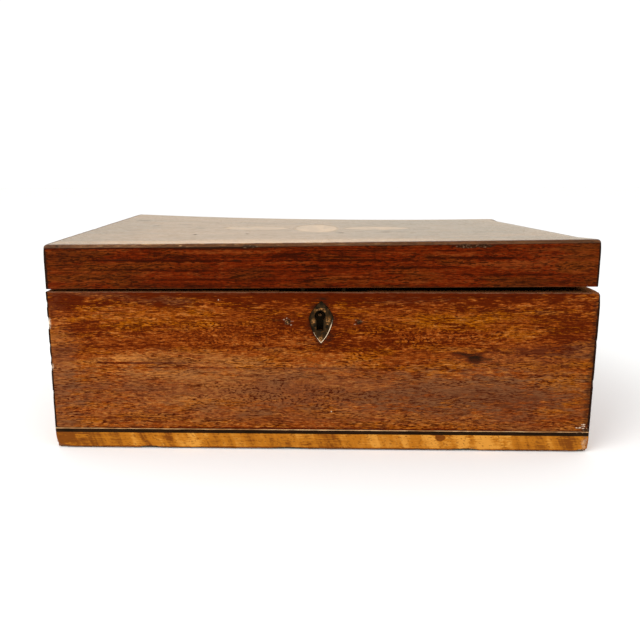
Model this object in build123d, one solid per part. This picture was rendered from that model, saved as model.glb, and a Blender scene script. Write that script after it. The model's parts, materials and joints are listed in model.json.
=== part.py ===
from build123d import *
import math
import os

# Document box: a dovetailed mahogany carcass, veneered all over, with a hinged lid,
# two sunk brass butt hinges and a brass box lock.
# Millimetres, +Z up, the front faces -Y, the origin is under the middle of the box.

# Carcass
box_width = 350.0
box_depth = 260.0
body_height = 105.6
board_thick = 7.5
veneer_thick = 1.1
base_board_thick = 6.0
base_rebate = 4.0
foot_baize_thick = 0.8
foot_baize_inset = 2.0
lining_thick = 1.0
lining_clearance = 0.2

# Band and strings round the foot of the body
band_height = 10.3
ebony_height = 2.0
boxwood_height = 1.0

# Dovetails, widest at the end of the board
body_tail_count = 4
body_tail_width = 12.0
lid_tail_width = 8.0
tail_spread = 1.6

# Lid, whose top has warped: each height is taken at a corner of the lid
lid_height = 29.0
lid_inset_left = 0.2
lid_inset_right = 2.2
lid_inset_front = 0.3
lid_gap_back = 0.4
lid_gap_front_left = 1.4
lid_gap_front_right = 3.8
lid_twist_front = 1.8
lid_twist_back = 2.4
lid_top_thick = 7.0
edging_size = 2.2
edging_round = 1.2
glue_line = 0.05  # under each piece of the warped top

# Inlay in the lid top
medallion_half_width = 18.0
medallion_half_depth = 45.0
medallion_string = 1.0
leaf_length = 54.0
leaf_half_depth = 19.0
leaf_space = 3.0

# Butt hinges
hinge_length = 50.0
hinge_from_side = 70.0
knuckle_count = 5
knuckle_radius = 2.0
knuckle_gap = 0.1
knuckle_room = 0.2
hinge_pin_radius = 0.85
hinge_pin_clearance = 0.05
leaf_thick = 1.0
leaf_gap = 0.2
leaf_inset = 0.4
hinge_screw_spacing = 17.0
lid_stop_angle = 100.0

# Wood screws: head radius, shank radius, head depth, length
hinge_screw = (1.5, 0.8, 0.6, 8.0)
rim_screw = (1.9, 1.0, 0.9, 9.0)
link_screw = (1.9, 1.0, 0.9, 9.0)
face_pin_radius = 0.8
face_pin_head = 1.5
screw_slot_width = 0.4
screw_slot_depth = 0.3

# Keyhole and escutcheon, measured down from the rim
key_below_rim = 15.3
key_round_radius = 3.4
key_slot_width = 4.3
key_slot_drop = 9.3
escutcheon_offset = 0.8
escutcheon_thick = 1.6
escutcheon_half_width = 7.7
escutcheon_tip_above = 9.4
escutcheon_tip_below = 18.0

# Box lock in the front board
lock_offset = 2.0
lock_depth = 6.3
lock_plate_thick = 1.2
lock_plate_drop = 28.0
lock_plate_margin = 4.4
case_wall = 0.8
case_room = 0.4
case_deep_drop = 26.2
case_step_drop = 13.6
case_deep_half_width = 10.6
mortise_room = 0.1
bolt_thick = 1.6
bolt_below_selvedge = 0.5
bolt_throw = 6.0
bolt_end_wall = 1.8
key_bit_radius = 8.6
bolt_above_key = 4.4
talon_room = 0.3
drill_pin_radius = 1.0
drill_pin_recess = 0.5
ward_radius = 5.6
ward_thick = 0.6
ward_height = 0.8
stud_radius = 0.9
stud_clearance = 0.05
stud_spacing = 36.0
spring_length = 12.0
spring_rise = 1.4
spring_thick = 0.4
face_pin_spacing = 44.7
face_pin_below_rim = 19.4
rim_screw_from_end = 2.1

# Link plate and its two staples under the lid
staple_spacing = 26.0
staple_width = 3.6
staple_thick = 2.2
staple_strap = 0.85
staple_reach = 8.8
staple_side_room = 0.5
staple_foot_room = 0.6
link_plate_thick = 1.2
link_plate_width = 6.6
link_plate_length = 52.0
link_plate_proud = 0.1
link_screw_from_end = 4.5

# Worked-out places
half_w = box_width / 2
half_d = box_depth / 2
core_x = half_w - veneer_thick
core_y = half_d - veneer_thick
inner_x = core_x - board_thick
inner_y = core_y - board_thick
floor_z = foot_baize_thick
rim_z = body_height
band_top = floor_z + band_height
ebony_top = band_top + ebony_height
boxwood_top = ebony_top + boxwood_height
base_top = floor_z + base_board_thick

lid_x0 = -half_w + lid_inset_left
lid_x1 = half_w - lid_inset_right
lid_y0 = -half_d + lid_inset_front
lid_y1 = half_d
lid_core_x0 = lid_x0 + veneer_thick
lid_core_x1 = lid_x1 - veneer_thick
lid_core_y0 = lid_y0 + veneer_thick
lid_core_y1 = lid_y1 - veneer_thick
lid_middle_x = (lid_x0 + lid_x1) / 2
lid_middle_y = (lid_y0 + lid_y1) / 2
lid_frame_drop = lid_top_thick + veneer_thick

axis_y = half_d - knuckle_radius
axis_z = rim_z + lid_gap_back / 2

key_x = 0.0
key_z = rim_z - key_below_rim
plate_face_y = -inner_y
plate_inside_y = plate_face_y - lock_plate_thick
case_front_y = plate_face_y - lock_depth
case_inside_y = case_front_y + case_wall
bolt_y = (case_inside_y + plate_inside_y) / 2
selvedge_z = rim_z - lock_plate_thick
lock_x = key_x + lock_offset
staple_x = (lock_x - staple_spacing / 2, lock_x + staple_spacing / 2)
notch_half = staple_thick / 2 + staple_side_room
staple_foot_z = rim_z - staple_reach
bolt_top = selvedge_z - bolt_below_selvedge
bolt_low = key_z + bolt_above_key
bolt_left = staple_x[0] - notch_half - bolt_throw - bolt_end_wall
bolt_right = staple_x[1] + notch_half + bolt_end_wall
case_left = bolt_left - case_room - case_wall
case_right = bolt_right + bolt_throw + case_room + case_wall
plate_left = case_left - lock_plate_margin
plate_right = case_right + lock_plate_margin
case_step_z = rim_z - case_step_drop
case_deep_z = rim_z - case_deep_drop
far = box_width + box_depth


def block(x0, x1, y0, y1, z0, z1):
    """A box between six planes."""
    return Pos((x0 + x1) / 2, (y0 + y1) / 2, (z0 + z1) / 2) * Box(x1 - x0, y1 - y0, z1 - z0)


def prism(points, along):
    """A flat polygon of 3-D points pushed along a vector."""
    face = Face(Wire.make_polygon([Vector(*p) for p in points], close=True))
    return Solid.extrude(face, Vector(*along))


def xz_prism(points, y0, y1):
    """A polygon drawn on the front view, from y0 to y1."""
    return prism([(x, y0, z) for x, z in points], (0, y1 - y0, 0))


def yz_prism(points, x0, x1):
    """A polygon drawn on the side view, from x0 to x1."""
    return prism([(x0, y, z) for y, z in points], (x1 - x0, 0, 0))


def rod(start, along, radius, length):
    """A round rod from a point along an axis."""
    return Solid.make_cylinder(radius, length, Plane(origin=start, z_dir=along))


def group(pieces):
    """Like pieces that share one node, each its own solid."""
    return Compound([solid for piece in pieces for solid in piece.solids()])


def blend(x, y, front_left, front_right, back_left, back_right):
    """Height over x, y of the surface that runs straight between the lid's four corners."""
    u = (x - lid_x0) / (lid_x1 - lid_x0)
    v = (y - lid_y0) / (lid_y1 - lid_y0)
    front = front_left + (front_right - front_left) * u
    back = back_left + (back_right - back_left) * u
    return front + (back - front) * v


def under_z(x, y):
    """Under side of the lid frame: level at the hinges, open wider at the front right."""
    gaps = (lid_gap_front_left, lid_gap_front_right, lid_gap_back, lid_gap_back)
    return rim_z + blend(x, y, *gaps)


def top_z(x, y):
    """Warped top of the lid."""
    mean_front = (lid_gap_front_left + lid_gap_front_right) / 2
    front = rim_z + mean_front + lid_height
    back = rim_z + lid_gap_back + lid_height
    corners = (front - lid_twist_front, front + lid_twist_front)
    return blend(x, y, *corners, back + lid_twist_back, back - lid_twist_back)


def below_top(drop):
    """A surface parallel to the lid top, this far under it."""
    return lambda x, y: top_z(x, y) - drop


def warped(x0, x1, y0, y1, low, high):
    """A block with upright sides whose under side and top follow two height functions."""
    ends = []
    for x in (x0, x1):
        corners = ((y0, low), (y1, low), (y1, high), (y0, high))
        ends.append(Wire.make_polygon([Vector(x, y, z(x, y)) for y, z in corners], close=True))
    return Solid.make_loft(ends, ruled=True)


def tails(x_in, x_out, y0, y1, low, high, count, width):
    """Dovetails of one corner: trapezoids on the front view, widest at the board's end."""
    pitch = (high - low) / count
    pieces = []
    for i in range(count):
        z = low + pitch * (i + 0.5)
        root = width / 2
        end = root + tail_spread
        outline = [(x_in, z - root), (x_out, z - end), (x_out, z + end), (x_in, z + root)]
        pieces.append(xz_prism(outline, y0, y1))
    return pieces


def cut(piece, tools):
    """The piece with every tool taken out of it."""
    for tool in tools:
        piece = piece - tool
    return piece


def screw(size, start, along, slotted=True):
    """Countersunk wood screw: its head lies flush at the start and it runs along the axis."""
    head_radius, shank_radius, head_depth, length = size
    plane = Plane(origin=start, z_dir=along)
    head = Solid.make_cone(head_radius, shank_radius, head_depth, plane)
    shank = Solid.make_cylinder(shank_radius, length, plane)
    piece = head + shank
    if slotted:
        slot = Box(2.2 * head_radius, screw_slot_width, 2 * screw_slot_depth)
        piece = piece - plane * slot
    return piece


def stop_bevel(up):
    """The wedge that both back arrises lose, so that the lid stops past upright."""
    reach = knuckle_radius + 1.0
    drop = reach * math.tan(math.radians(lid_stop_angle / 2))
    clear = up * (body_height / 2)
    outline = [(axis_y, axis_z), (axis_y + reach, axis_z - up * drop)]
    outline += [(axis_y + reach, axis_z + clear), (axis_y, axis_z + clear)]
    return yz_prism(outline, -far, far)


def keyhole(y0, y1):
    """Round hole over a straight slot, through the front from y0 to y1."""
    round_part = rod((key_x, y0, key_z), (0, 1, 0), key_round_radius, y1 - y0)
    half = key_slot_width / 2
    return round_part + block(key_x - half, key_x + half, y0, y1, key_z - key_slot_drop, key_z)


def escutcheon_blank(y0, y1):
    """Pointed shield outline of four shallow arcs."""
    x = key_x + escutcheon_offset
    top = (x, y0, key_z + escutcheon_tip_above)
    low = (x, y0, key_z - escutcheon_tip_below)
    wide_z = key_z - 1.0
    edges = []
    for side in (1, -1):
        wide = (x + side * escutcheon_half_width, y0, wide_z)
        upper = (x + side * 0.60 * escutcheon_half_width, y0, key_z + 0.50 * escutcheon_tip_above)
        lower = (x + side * 0.68 * escutcheon_half_width, y0, key_z - 0.56 * escutcheon_tip_below)
        edges.append(Edge.make_three_point_arc(Vector(*top), Vector(*upper), Vector(*wide)))
        edges.append(Edge.make_three_point_arc(Vector(*wide), Vector(*lower), Vector(*low)))
    return Solid.extrude(Face(Wire(edges)), Vector(0, y1 - y0, 0))


def corner_tails(x_in, x_out, y_in, y_out, low, high, count, width):
    """Dovetails and corner blocks of a frame's four corners, from its inner and outer faces."""
    frame_tails = []
    corner_blocks = []
    for x_a, x_b in ((x_in[0], x_out[0]), (x_in[1], x_out[1])):
        for y_a, y_b in ((y_in[0], y_out[0]), (y_in[1], y_out[1])):
            frame_tails += tails(x_a, x_b, min(y_a, y_b), max(y_a, y_b), low, high, count, width)
            ends = (min(x_a, x_b), max(x_a, x_b), min(y_a, y_b), max(y_a, y_b))
            corner_blocks.append(block(*ends, low - body_height, high + body_height))
    return frame_tails, corner_blocks


def hinge(side):
    """One butt hinge: body leaf, lid leaf, pin and screws. The barrel is flush with the back."""
    middle = side * (half_w - hinge_from_side)
    x0 = middle - hinge_length / 2
    x1 = middle + hinge_length / 2
    leaf_y = inner_y + leaf_inset
    flat_y = axis_y - knuckle_radius - knuckle_gap
    pitch = hinge_length / knuckle_count
    pin = rod((x0, axis_y, axis_z), (1, 0, 0), hinge_pin_radius, hinge_length)
    leaves = []
    slabs = []
    for up, first in ((-1, 0), (1, 1)):
        near = axis_z + up * leaf_gap / 2
        out = near + up * leaf_thick
        z0 = min(near, out)
        z1 = max(near, out)
        leaf = block(x0, x1, leaf_y, flat_y, z0, z1)
        for i in range(first, knuckle_count, 2):
            k0 = x0 + i * pitch + (knuckle_gap / 2 if i else 0)
            k1 = x0 + (i + 1) * pitch - (knuckle_gap / 2 if i < knuckle_count - 1 else 0)
            barrel = rod((k0, axis_y, axis_z), (1, 0, 0), knuckle_radius, k1 - k0)
            leaf = leaf + barrel + block(k0, k1, leaf_y, axis_y, z0, z1)
        clearance = hinge_pin_clearance if up > 0 else 0
        bore = hinge_pin_radius + clearance
        leaf = leaf - rod((x0, axis_y, axis_z), (1, 0, 0), bore, hinge_length)
        leaves.append(leaf)
        slabs.append(block(x0, x1, leaf_y, axis_y, min(out, rim_z), max(out, under_z(0, lid_y1))))
    screw_y = (leaf_y + flat_y) / 2
    screws = []
    holes = []
    for up in (-1, 1):
        start_z = axis_z + up * leaf_gap / 2
        starts = [(middle + i * hinge_screw_spacing, screw_y, start_z) for i in (-1, 0, 1)]
        screws.append(group([screw(hinge_screw, start, (0, 0, up)) for start in starts]))
        holes.append([screw(hinge_screw, start, (0, 0, up), False) for start in starts])
    body_leaf = cut(leaves[0], holes[0])
    lid_leaf = cut(leaves[1], holes[1])
    room = rod((x0, axis_y, axis_z), (1, 0, 0), knuckle_radius + knuckle_room, hinge_length)
    body_tools = [slabs[0], room] + holes[0]
    lid_tools = [slabs[1], room] + holes[1]
    return body_leaf, lid_leaf, pin, screws, body_tools, lid_tools


def lock_case(room, wall):
    """T-shaped block of the lock case, grown by room and with its walls taken off."""
    step = case_step_z - room + wall
    deep = case_deep_z - room + wall
    y0 = case_front_y - room + wall
    wide = (case_left - room + wall, case_right + room - wall)
    half = case_deep_half_width + room - wall
    upper = block(*wide, y0, plate_inside_y, step, selvedge_z)
    lower = block(key_x - half, key_x + half, y0, plate_inside_y, deep, case_step_z + wall + room)
    return upper + lower


def lock():
    """Box lock: plate, cap, bolt, spring, pin, ward, studs and fixings, with the wood it takes."""
    selvedge = block(plate_left, plate_right, case_front_y, plate_face_y, selvedge_z, rim_z)
    plate_foot = rim_z - lock_plate_drop
    plate = block(plate_left, plate_right, plate_inside_y, plate_face_y, plate_foot, rim_z)
    recess = [plate, selvedge]
    plate = plate + selvedge
    slot_x = staple_thick / 2 + staple_side_room
    slot_y = staple_width / 2 + staple_side_room
    for x in staple_x:
        sides = (x - slot_x, x + slot_x, bolt_y - slot_y, bolt_y + slot_y)
        plate = plate - block(*sides, selvedge_z, rim_z)

    pin_start = case_front_y + drill_pin_recess
    pin_length = plate_face_y - pin_start
    drill_pin = rod((key_x, pin_start, key_z), (0, 1, 0), drill_pin_radius, pin_length)

    rim_ends = (plate_left + rim_screw_from_end, plate_right - rim_screw_from_end)
    rim_starts = [(x, bolt_y, rim_z) for x in rim_ends]
    rim_screws = [screw(rim_screw, start, (0, 0, -1)) for start in rim_starts]
    rim_holes = [screw(rim_screw, start, (0, 0, -1), False) for start in rim_starts]

    face_size = (face_pin_head, face_pin_radius, lock_plate_thick / 2, plate_face_y + half_d)
    face_z = rim_z - face_pin_below_rim
    face_ends = (lock_x - face_pin_spacing / 2, lock_x + face_pin_spacing / 2)
    face_starts = [(x, plate_face_y, face_z) for x in face_ends]
    face_pins = [screw(face_size, start, (0, -1, 0), False) for start in face_starts]
    plate = cut(plate, rim_holes + face_pins + [drill_pin])

    cap = lock_case(0, 0) - lock_case(0, case_wall) - keyhole(case_front_y, case_inside_y)
    ward = rod((key_x, case_inside_y, key_z), (0, 1, 0), ward_radius, ward_height)
    ward = ward - rod((key_x, case_inside_y, key_z), (0, 1, 0), ward_radius - ward_thick, ward_height)
    ward = ward - keyhole(case_inside_y, case_inside_y + ward_height)

    stud_z = bolt_low - stud_radius - stud_clearance
    stud_length = plate_inside_y - case_inside_y
    bolt_middle = (bolt_left + bolt_right + bolt_throw) / 2
    stud_ends = (bolt_middle - stud_spacing / 2, bolt_middle + stud_spacing / 2)
    studs = [rod((x, case_inside_y, stud_z), (0, 1, 0), stud_radius, stud_length) for x in stud_ends]

    mortise = lock_case(mortise_room, 0)
    tools = recess + [mortise] + rim_holes + face_pins + [keyhole(-core_y, case_front_y)]
    nodes = {
        "lock_plate": plate,
        "lock_cap": cap,
        "lock_ward": ward,
        "lock_drill_pin": drill_pin,
        "lock_studs": group(studs),
        "lock_rim_screws": group(rim_screws),
        "lock_face_pins": group(face_pins),
    }
    return nodes, tools, face_pins


def bolt():
    """Lock bolt, drawn back: two hooked notches for the staples and a talon for the key."""
    y0 = bolt_y - bolt_thick / 2
    y1 = bolt_y + bolt_thick / 2
    piece = block(bolt_left, bolt_right, y0, y1, bolt_low, bolt_top)
    hook_z = staple_foot_z + staple_strap + staple_foot_room
    for x in staple_x:
        piece = piece - block(x - notch_half, x + notch_half, y0, y1, hook_z, bolt_top)
        foot = staple_foot_z - staple_foot_room
        left = x - notch_half - bolt_throw
        piece = piece - block(left, x + notch_half, y0, y1, foot, hook_z)
    chord = math.sqrt(key_bit_radius**2 - bolt_above_key**2)
    talon_top = key_z + key_bit_radius + talon_room
    talon_right = key_x + chord - bolt_throw
    piece = piece - block(key_x - chord, talon_right, y0, y1, bolt_low, talon_top)
    seat_z = bolt_top - spring_rise
    seat_x0 = lock_x - spring_length / 2
    seat_x1 = lock_x + spring_length / 2
    piece = piece - block(seat_x0, seat_x1, y0, y1, seat_z, bolt_top)
    outer = [(seat_x0, seat_z), (lock_x, seat_z + spring_rise), (seat_x1, seat_z)]
    inner = [(x, z - spring_thick) for x, z in reversed(outer)]
    inner[0] = (seat_x1 - 2 * spring_thick, seat_z)
    inner[2] = (seat_x0 + 2 * spring_thick, seat_z)
    inner[1] = (lock_x, seat_z + spring_rise - spring_thick)
    spring = xz_prism(outer + inner, y0, y1)
    return {"lock_bolt": piece, "lock_bolt_spring": spring}


def link_plate():
    """Link plate let into the lid's front board, with two staples that reach down to the bolt."""
    z0 = under_z(lock_x, bolt_y) - link_plate_proud
    z1 = z0 + link_plate_thick
    x0 = lock_x - link_plate_length / 2
    x1 = lock_x + link_plate_length / 2
    y0 = bolt_y - link_plate_width / 2
    y1 = bolt_y + link_plate_width / 2
    blank = block(x0, x1, y0, y1, z0, z1)
    staples = []
    for x in staple_x:
        sides = (x - staple_thick / 2, x + staple_thick / 2)
        outer = block(*sides, bolt_y - staple_width / 2, bolt_y + staple_width / 2, staple_foot_z, z1)
        eye = staple_width / 2 - staple_strap
        eye_foot = staple_foot_z + staple_strap
        staples.append(outer - block(*sides, bolt_y - eye, bolt_y + eye, eye_foot, z0))
    starts = [(x, bolt_y, z0) for x in (x0 + link_screw_from_end, x1 - link_screw_from_end)]
    screws = [screw(link_screw, start, (0, 0, 1)) for start in starts]
    holes = [screw(link_screw, start, (0, 0, 1), False) for start in starts]
    nodes = {
        "link_plate": cut(blank, staples + holes),
        "link_staples": group(staples),
        "link_plate_screws": group(screws),
    }
    recess = block(x0, x1, y0, y1, rim_z, z1)
    return nodes, [recess] + holes


def body_boards(lock_tools, hinge_tools):
    """Carcass boards, dovetailed at the corners, and the base board in its rebate."""
    x_faces = ((-inner_x, inner_x), (-core_x, core_x))
    y_faces = ((-inner_y, inner_y), (-core_y, core_y))
    high = rim_z
    tail_pieces, corners = corner_tails(
        *x_faces, *y_faces, floor_z, high, body_tail_count, body_tail_width
    )
    pins = [cut(corner, tail_pieces) for corner in corners]
    base_x = inner_x + base_rebate
    base_y = inner_y + base_rebate
    base = block(-base_x, base_x, -base_y, base_y, floor_z, base_top)
    bevel = stop_bevel(1)
    front = block(-core_x, core_x, -core_y, -inner_y, floor_z, high)
    back = block(-core_x, core_x, inner_y, core_y, floor_z, high)
    left = block(-core_x, -inner_x, -core_y, core_y, floor_z, high)
    right = block(inner_x, core_x, -core_y, core_y, floor_z, high)
    shield = escutcheon_blank(-half_d, -half_d + escutcheon_thick)
    return {
        "base_board": base,
        "front_board": cut(front, pins + [base, shield] + lock_tools),
        "back_board": cut(back, pins + [base, bevel] + hinge_tools),
        "left_board": cut(left, tail_pieces + [base, bevel]),
        "right_board": cut(right, tail_pieces + [base, bevel]),
    }


def body_skin(face_pins, hinge_tools):
    """Veneers over the carcass and the band and strings round its foot."""
    bevel = stop_bevel(1)
    shield = escutcheon_blank(-half_d, -half_d + escutcheon_thick)
    front = block(-core_x, core_x, -half_d, -core_y, boxwood_top, rim_z)
    back = block(-core_x, core_x, core_y, half_d, boxwood_top, rim_z)
    left = block(-half_w, -core_x, -half_d, half_d, boxwood_top, rim_z)
    right = block(core_x, half_w, -half_d, half_d, boxwood_top, rim_z)
    nodes = {
        "front_veneer": cut(front, [shield] + face_pins),
        "back_veneer": cut(back, [bevel] + hinge_tools),
        "left_veneer": left - bevel,
        "right_veneer": right - bevel,
        "front_band": block(-half_w, half_w, -half_d, -core_y, floor_z, band_top),
        "back_band": block(-half_w, half_w, core_y, half_d, floor_z, band_top),
        "left_band": block(-half_w, -core_x, -core_y, core_y, floor_z, band_top),
        "right_band": block(core_x, half_w, -core_y, core_y, floor_z, band_top),
    }
    for name, low, high in (("ebony", band_top, ebony_top), ("boxwood", ebony_top, boxwood_top)):
        strings = []
        for side in (-1, 1):
            across = sorted((side * core_y, side * half_d))
            along = sorted((side * core_x, side * half_w))
            strings.append(block(-half_w, half_w, *across, low, high))
            strings.append(block(*along, -core_y, core_y, low, high))
        nodes[name + "_strings"] = group(strings)
    return nodes


def baize():
    """Baize under the foot and on the floor inside."""
    foot_x = half_w - foot_baize_inset
    foot_y = half_d - foot_baize_inset
    floor_x = inner_x - lining_clearance
    floor_y = inner_y - lining_clearance
    return {
        "foot_baize": block(-foot_x, foot_x, -foot_y, foot_y, 0, floor_z),
        "floor_lining": block(-floor_x, floor_x, -floor_y, floor_y, base_top, base_top + lining_thick),
    }


def lid_boards(link_tools, hinge_tools):
    """Lid frame, dovetailed at the corners, under a top board rebated for the edging."""
    x_out = (lid_core_x0, lid_core_x1)
    y_out = (lid_core_y0, lid_core_y1)
    x_in = (lid_core_x0 + board_thick, lid_core_x1 - board_thick)
    y_in = (lid_core_y0 + board_thick, lid_core_y1 - board_thick)
    low = under_z(lid_middle_x, lid_middle_y)
    high = top_z(lid_middle_x, lid_middle_y) - lid_frame_drop
    tail_pieces, corners = corner_tails(x_in, x_out, y_in, y_out, low, high, 1, lid_tail_width)
    pins = [cut(corner, tail_pieces) for corner in corners]
    ceiling = below_top(lid_frame_drop + glue_line)
    front = warped(*x_out, y_out[0], y_in[0], under_z, ceiling)
    back = warped(*x_out, y_in[1], y_out[1], under_z, ceiling)
    left = warped(x_out[0], x_in[0], *y_out, under_z, ceiling)
    right = warped(x_in[1], x_out[1], *y_out, under_z, ceiling)
    top = warped(*x_out, *y_out, below_top(lid_frame_drop), below_top(veneer_thick))
    rebate_x = (lid_x0 + edging_size, lid_x1 - edging_size)
    rebate_y = (lid_y0 + edging_size, lid_y1 - edging_size)
    rebate_low = below_top(edging_size)
    rebate_high = below_top(-edging_size)
    rebates = [
        warped(lid_x0, lid_x1, lid_y0, rebate_y[0], rebate_low, rebate_high),
        warped(lid_x0, lid_x1, rebate_y[1], lid_y1, rebate_low, rebate_high),
        warped(lid_x0, rebate_x[0], lid_y0, lid_y1, rebate_low, rebate_high),
        warped(rebate_x[1], lid_x1, lid_y0, lid_y1, rebate_low, rebate_high),
    ]
    bevel = stop_bevel(-1)
    return {
        "lid_front_board": cut(front, pins + link_tools),
        "lid_back_board": cut(back, pins + [bevel] + hinge_tools),
        "lid_left_board": cut(left, tail_pieces + [bevel]),
        "lid_right_board": cut(right, tail_pieces + [bevel]),
        "lid_top_board": cut(top, rebates),
    }


def edging_strip(start, end, across):
    """Square strip on one arris of the lid top, from start to end, its outer arris rounded."""
    wires = []
    for x, y in (start, end):
        def place(inward, drop):
            at_x = x + across[0] * inward
            at_y = y + across[1] * inward
            return Vector(at_x, at_y, top_z(at_x, at_y) - drop)

        easy = edging_round * (1 - math.sqrt(0.5))
        corner = [place(edging_round, 0), place(easy, easy), place(0, edging_round)]
        foot = place(0, edging_size - glue_line)
        inner_foot = place(edging_size, edging_size - glue_line)
        inner_top = place(edging_size, 0)
        wires.append(
            Wire(
                [
                    Edge.make_three_point_arc(*corner),
                    Edge.make_line(corner[2], foot),
                    Edge.make_line(foot, inner_foot),
                    Edge.make_line(inner_foot, inner_top),
                    Edge.make_line(inner_top, corner[0]),
                ]
            )
        )
    return Solid.make_loft(wires, ruled=True)


def lid_skin(hinge_tools):
    """Veneers over the lid, the edging strips and the inlay in the top."""
    bevel = stop_bevel(-1)
    side_top = below_top(edging_size)
    flush = below_top(0)
    front = warped(lid_core_x0, lid_core_x1, lid_y0, lid_core_y0, under_z, side_top)
    back = warped(lid_core_x0, lid_core_x1, lid_core_y1, lid_y1, under_z, side_top)
    left = warped(lid_x0, lid_core_x0, lid_y0, lid_y1, under_z, side_top)
    right = warped(lid_core_x1, lid_x1, lid_y0, lid_y1, under_z, side_top)
    top_x = (lid_x0 + edging_size, lid_x1 - edging_size)
    top_y = (lid_y0 + edging_size, lid_y1 - edging_size)
    top = warped(*top_x, *top_y, below_top(veneer_thick - glue_line), flush)

    low = body_height
    span = 2 * lid_height + body_height
    centre = Pos(lid_middle_x, lid_middle_y, low)
    outer = (medallion_half_width, medallion_half_depth)
    inner = (medallion_half_width - medallion_string, medallion_half_depth - medallion_string)
    outer_oval = extrude(centre * Ellipse(*outer), span)
    inner_oval = extrude(centre * Ellipse(*inner), span)
    leaves = []
    for side in (-1, 1):
        root = lid_middle_x + side * (medallion_half_width + leaf_space)
        tip = root + side * leaf_length
        waist = root + side * 0.42 * leaf_length
        ends = (Vector(root, lid_middle_y, low), Vector(tip, lid_middle_y, low))
        edges = []
        for across in (-1, 1):
            belly = Vector(waist, lid_middle_y + across * leaf_half_depth, low)
            edges.append(Edge.make_three_point_arc(ends[0], belly, ends[1]))
        leaf = Solid.extrude(Face(Wire(edges)), Vector(0, 0, span))
        leaves.append(leaf)
    nodes = {
        "lid_front_veneer": front,
        "lid_back_veneer": cut(back, [bevel] + hinge_tools),
        "lid_left_veneer": left - bevel,
        "lid_right_veneer": right - bevel,
        "lid_top_veneer": cut(top, [outer_oval] + leaves),
        "lid_medallion": top & inner_oval,
        "lid_medallion_string": (top & outer_oval) - inner_oval,
        "lid_leaf_inlays": group([top & leaf for leaf in leaves]),
    }
    side_y = (lid_y0 + edging_size, lid_y1 - edging_size)
    strips = {
        "front": ((lid_x0, lid_y0), (lid_x1, lid_y0), (0, 1)),
        "back": ((lid_x0, lid_y1), (lid_x1, lid_y1), (0, -1)),
        "left": ((lid_x0, side_y[0]), (lid_x0, side_y[1]), (1, 0)),
        "right": ((lid_x1, side_y[0]), (lid_x1, side_y[1]), (-1, 0)),
    }
    for name, strip in strips.items():
        nodes["lid_" + name + "_edging"] = edging_strip(*strip)
    return nodes


def escutcheon():
    """Brass shield let in flush round the keyhole."""
    back_y = -half_d + escutcheon_thick
    return {"escutcheon": escutcheon_blank(-half_d, back_y) - keyhole(-half_d, back_y)}


def document_box():
    """Every node of the box by name."""
    lock_nodes, lock_tools, face_pins = lock()
    link_nodes, link_tools = link_plate()
    nodes = {}
    body_tools = []
    lid_tools = []
    for name, side in (("left", -1), ("right", 1)):
        body_leaf, lid_leaf, pin, screws, for_body, for_lid = hinge(side)
        nodes[name + "_hinge_body_leaf"] = body_leaf
        nodes[name + "_hinge_lid_leaf"] = lid_leaf
        nodes[name + "_hinge_pin"] = pin
        nodes[name + "_hinge_body_screws"] = screws[0]
        nodes[name + "_hinge_lid_screws"] = screws[1]
        body_tools += for_body
        lid_tools += for_lid
    nodes.update(body_boards(lock_tools, body_tools))
    nodes.update(body_skin(face_pins, body_tools))
    nodes.update(baize())
    nodes.update(escutcheon())
    nodes.update(lock_nodes)
    nodes.update(bolt())
    nodes.update(link_nodes)
    nodes.update(lid_boards(link_tools, lid_tools))
    nodes.update(lid_skin(lid_tools))
    return nodes


os.makedirs("parts", exist_ok=True)
for name, shape in document_box().items():
    export_step(shape, f"parts/{name}.step")
    print(name, len(shape.solids()), round(sum(solid.volume for solid in shape.solids()), 1))
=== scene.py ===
# %% [markdown]
# # A veneered document box
#
# The real box is plain joinery with a thin dressed skin: mahogany veneer all over, a satinwood band and
# two fine strings round the foot, a strip along the arrises of the lid, and an inlaid figure in its top.
# Long use has rounded and chipped the arrises, and the lid has warped.
#
# The carcass, lock and hinges come in from the frame as they are. Each piece of the skin is made again
# here as a fine grid. A Bevel modifier on the frame's pieces could round them too, but it rounds every
# edge alike and stops at each joint. So one field of wear is laid over the whole body, and one over the
# lid, and neighbouring pieces stay flush where they have been rubbed down together.

# %% Load the frame
import json
import math

import bpy
import numpy as np
from mathutils import Matrix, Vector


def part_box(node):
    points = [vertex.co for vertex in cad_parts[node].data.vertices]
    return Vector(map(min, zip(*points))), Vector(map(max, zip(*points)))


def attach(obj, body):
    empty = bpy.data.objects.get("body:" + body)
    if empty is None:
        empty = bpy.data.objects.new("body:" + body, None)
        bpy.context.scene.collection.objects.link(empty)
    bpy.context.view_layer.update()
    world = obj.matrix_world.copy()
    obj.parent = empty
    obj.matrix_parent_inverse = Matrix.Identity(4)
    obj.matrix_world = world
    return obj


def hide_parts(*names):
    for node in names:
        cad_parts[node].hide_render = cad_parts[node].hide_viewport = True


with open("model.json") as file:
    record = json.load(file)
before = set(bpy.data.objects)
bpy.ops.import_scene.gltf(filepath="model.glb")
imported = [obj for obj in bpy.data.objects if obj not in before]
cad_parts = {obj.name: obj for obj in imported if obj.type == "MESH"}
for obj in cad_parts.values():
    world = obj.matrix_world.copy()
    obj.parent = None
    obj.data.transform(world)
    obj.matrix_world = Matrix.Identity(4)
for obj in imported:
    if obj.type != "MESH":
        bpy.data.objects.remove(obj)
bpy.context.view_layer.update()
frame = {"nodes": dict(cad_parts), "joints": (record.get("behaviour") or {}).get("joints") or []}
MM = 0.001
print("nodes in the frame:", len(frame["nodes"]))

# %% [markdown]
# ## Places that the frame gives
#
# The body is an upright block. The lid has warped, so its top and its under side are each a saddle: a
# surface that runs straight between four corner heights. The heights could be typed in, but the frame
# has them, and four corners fix a saddle exactly. The top has also sunk in the middle, mostly at the
# back, and is rubbed low along its right edge, which the solids leave out, so both are added to the
# saddle here as smooth terms.

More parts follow.
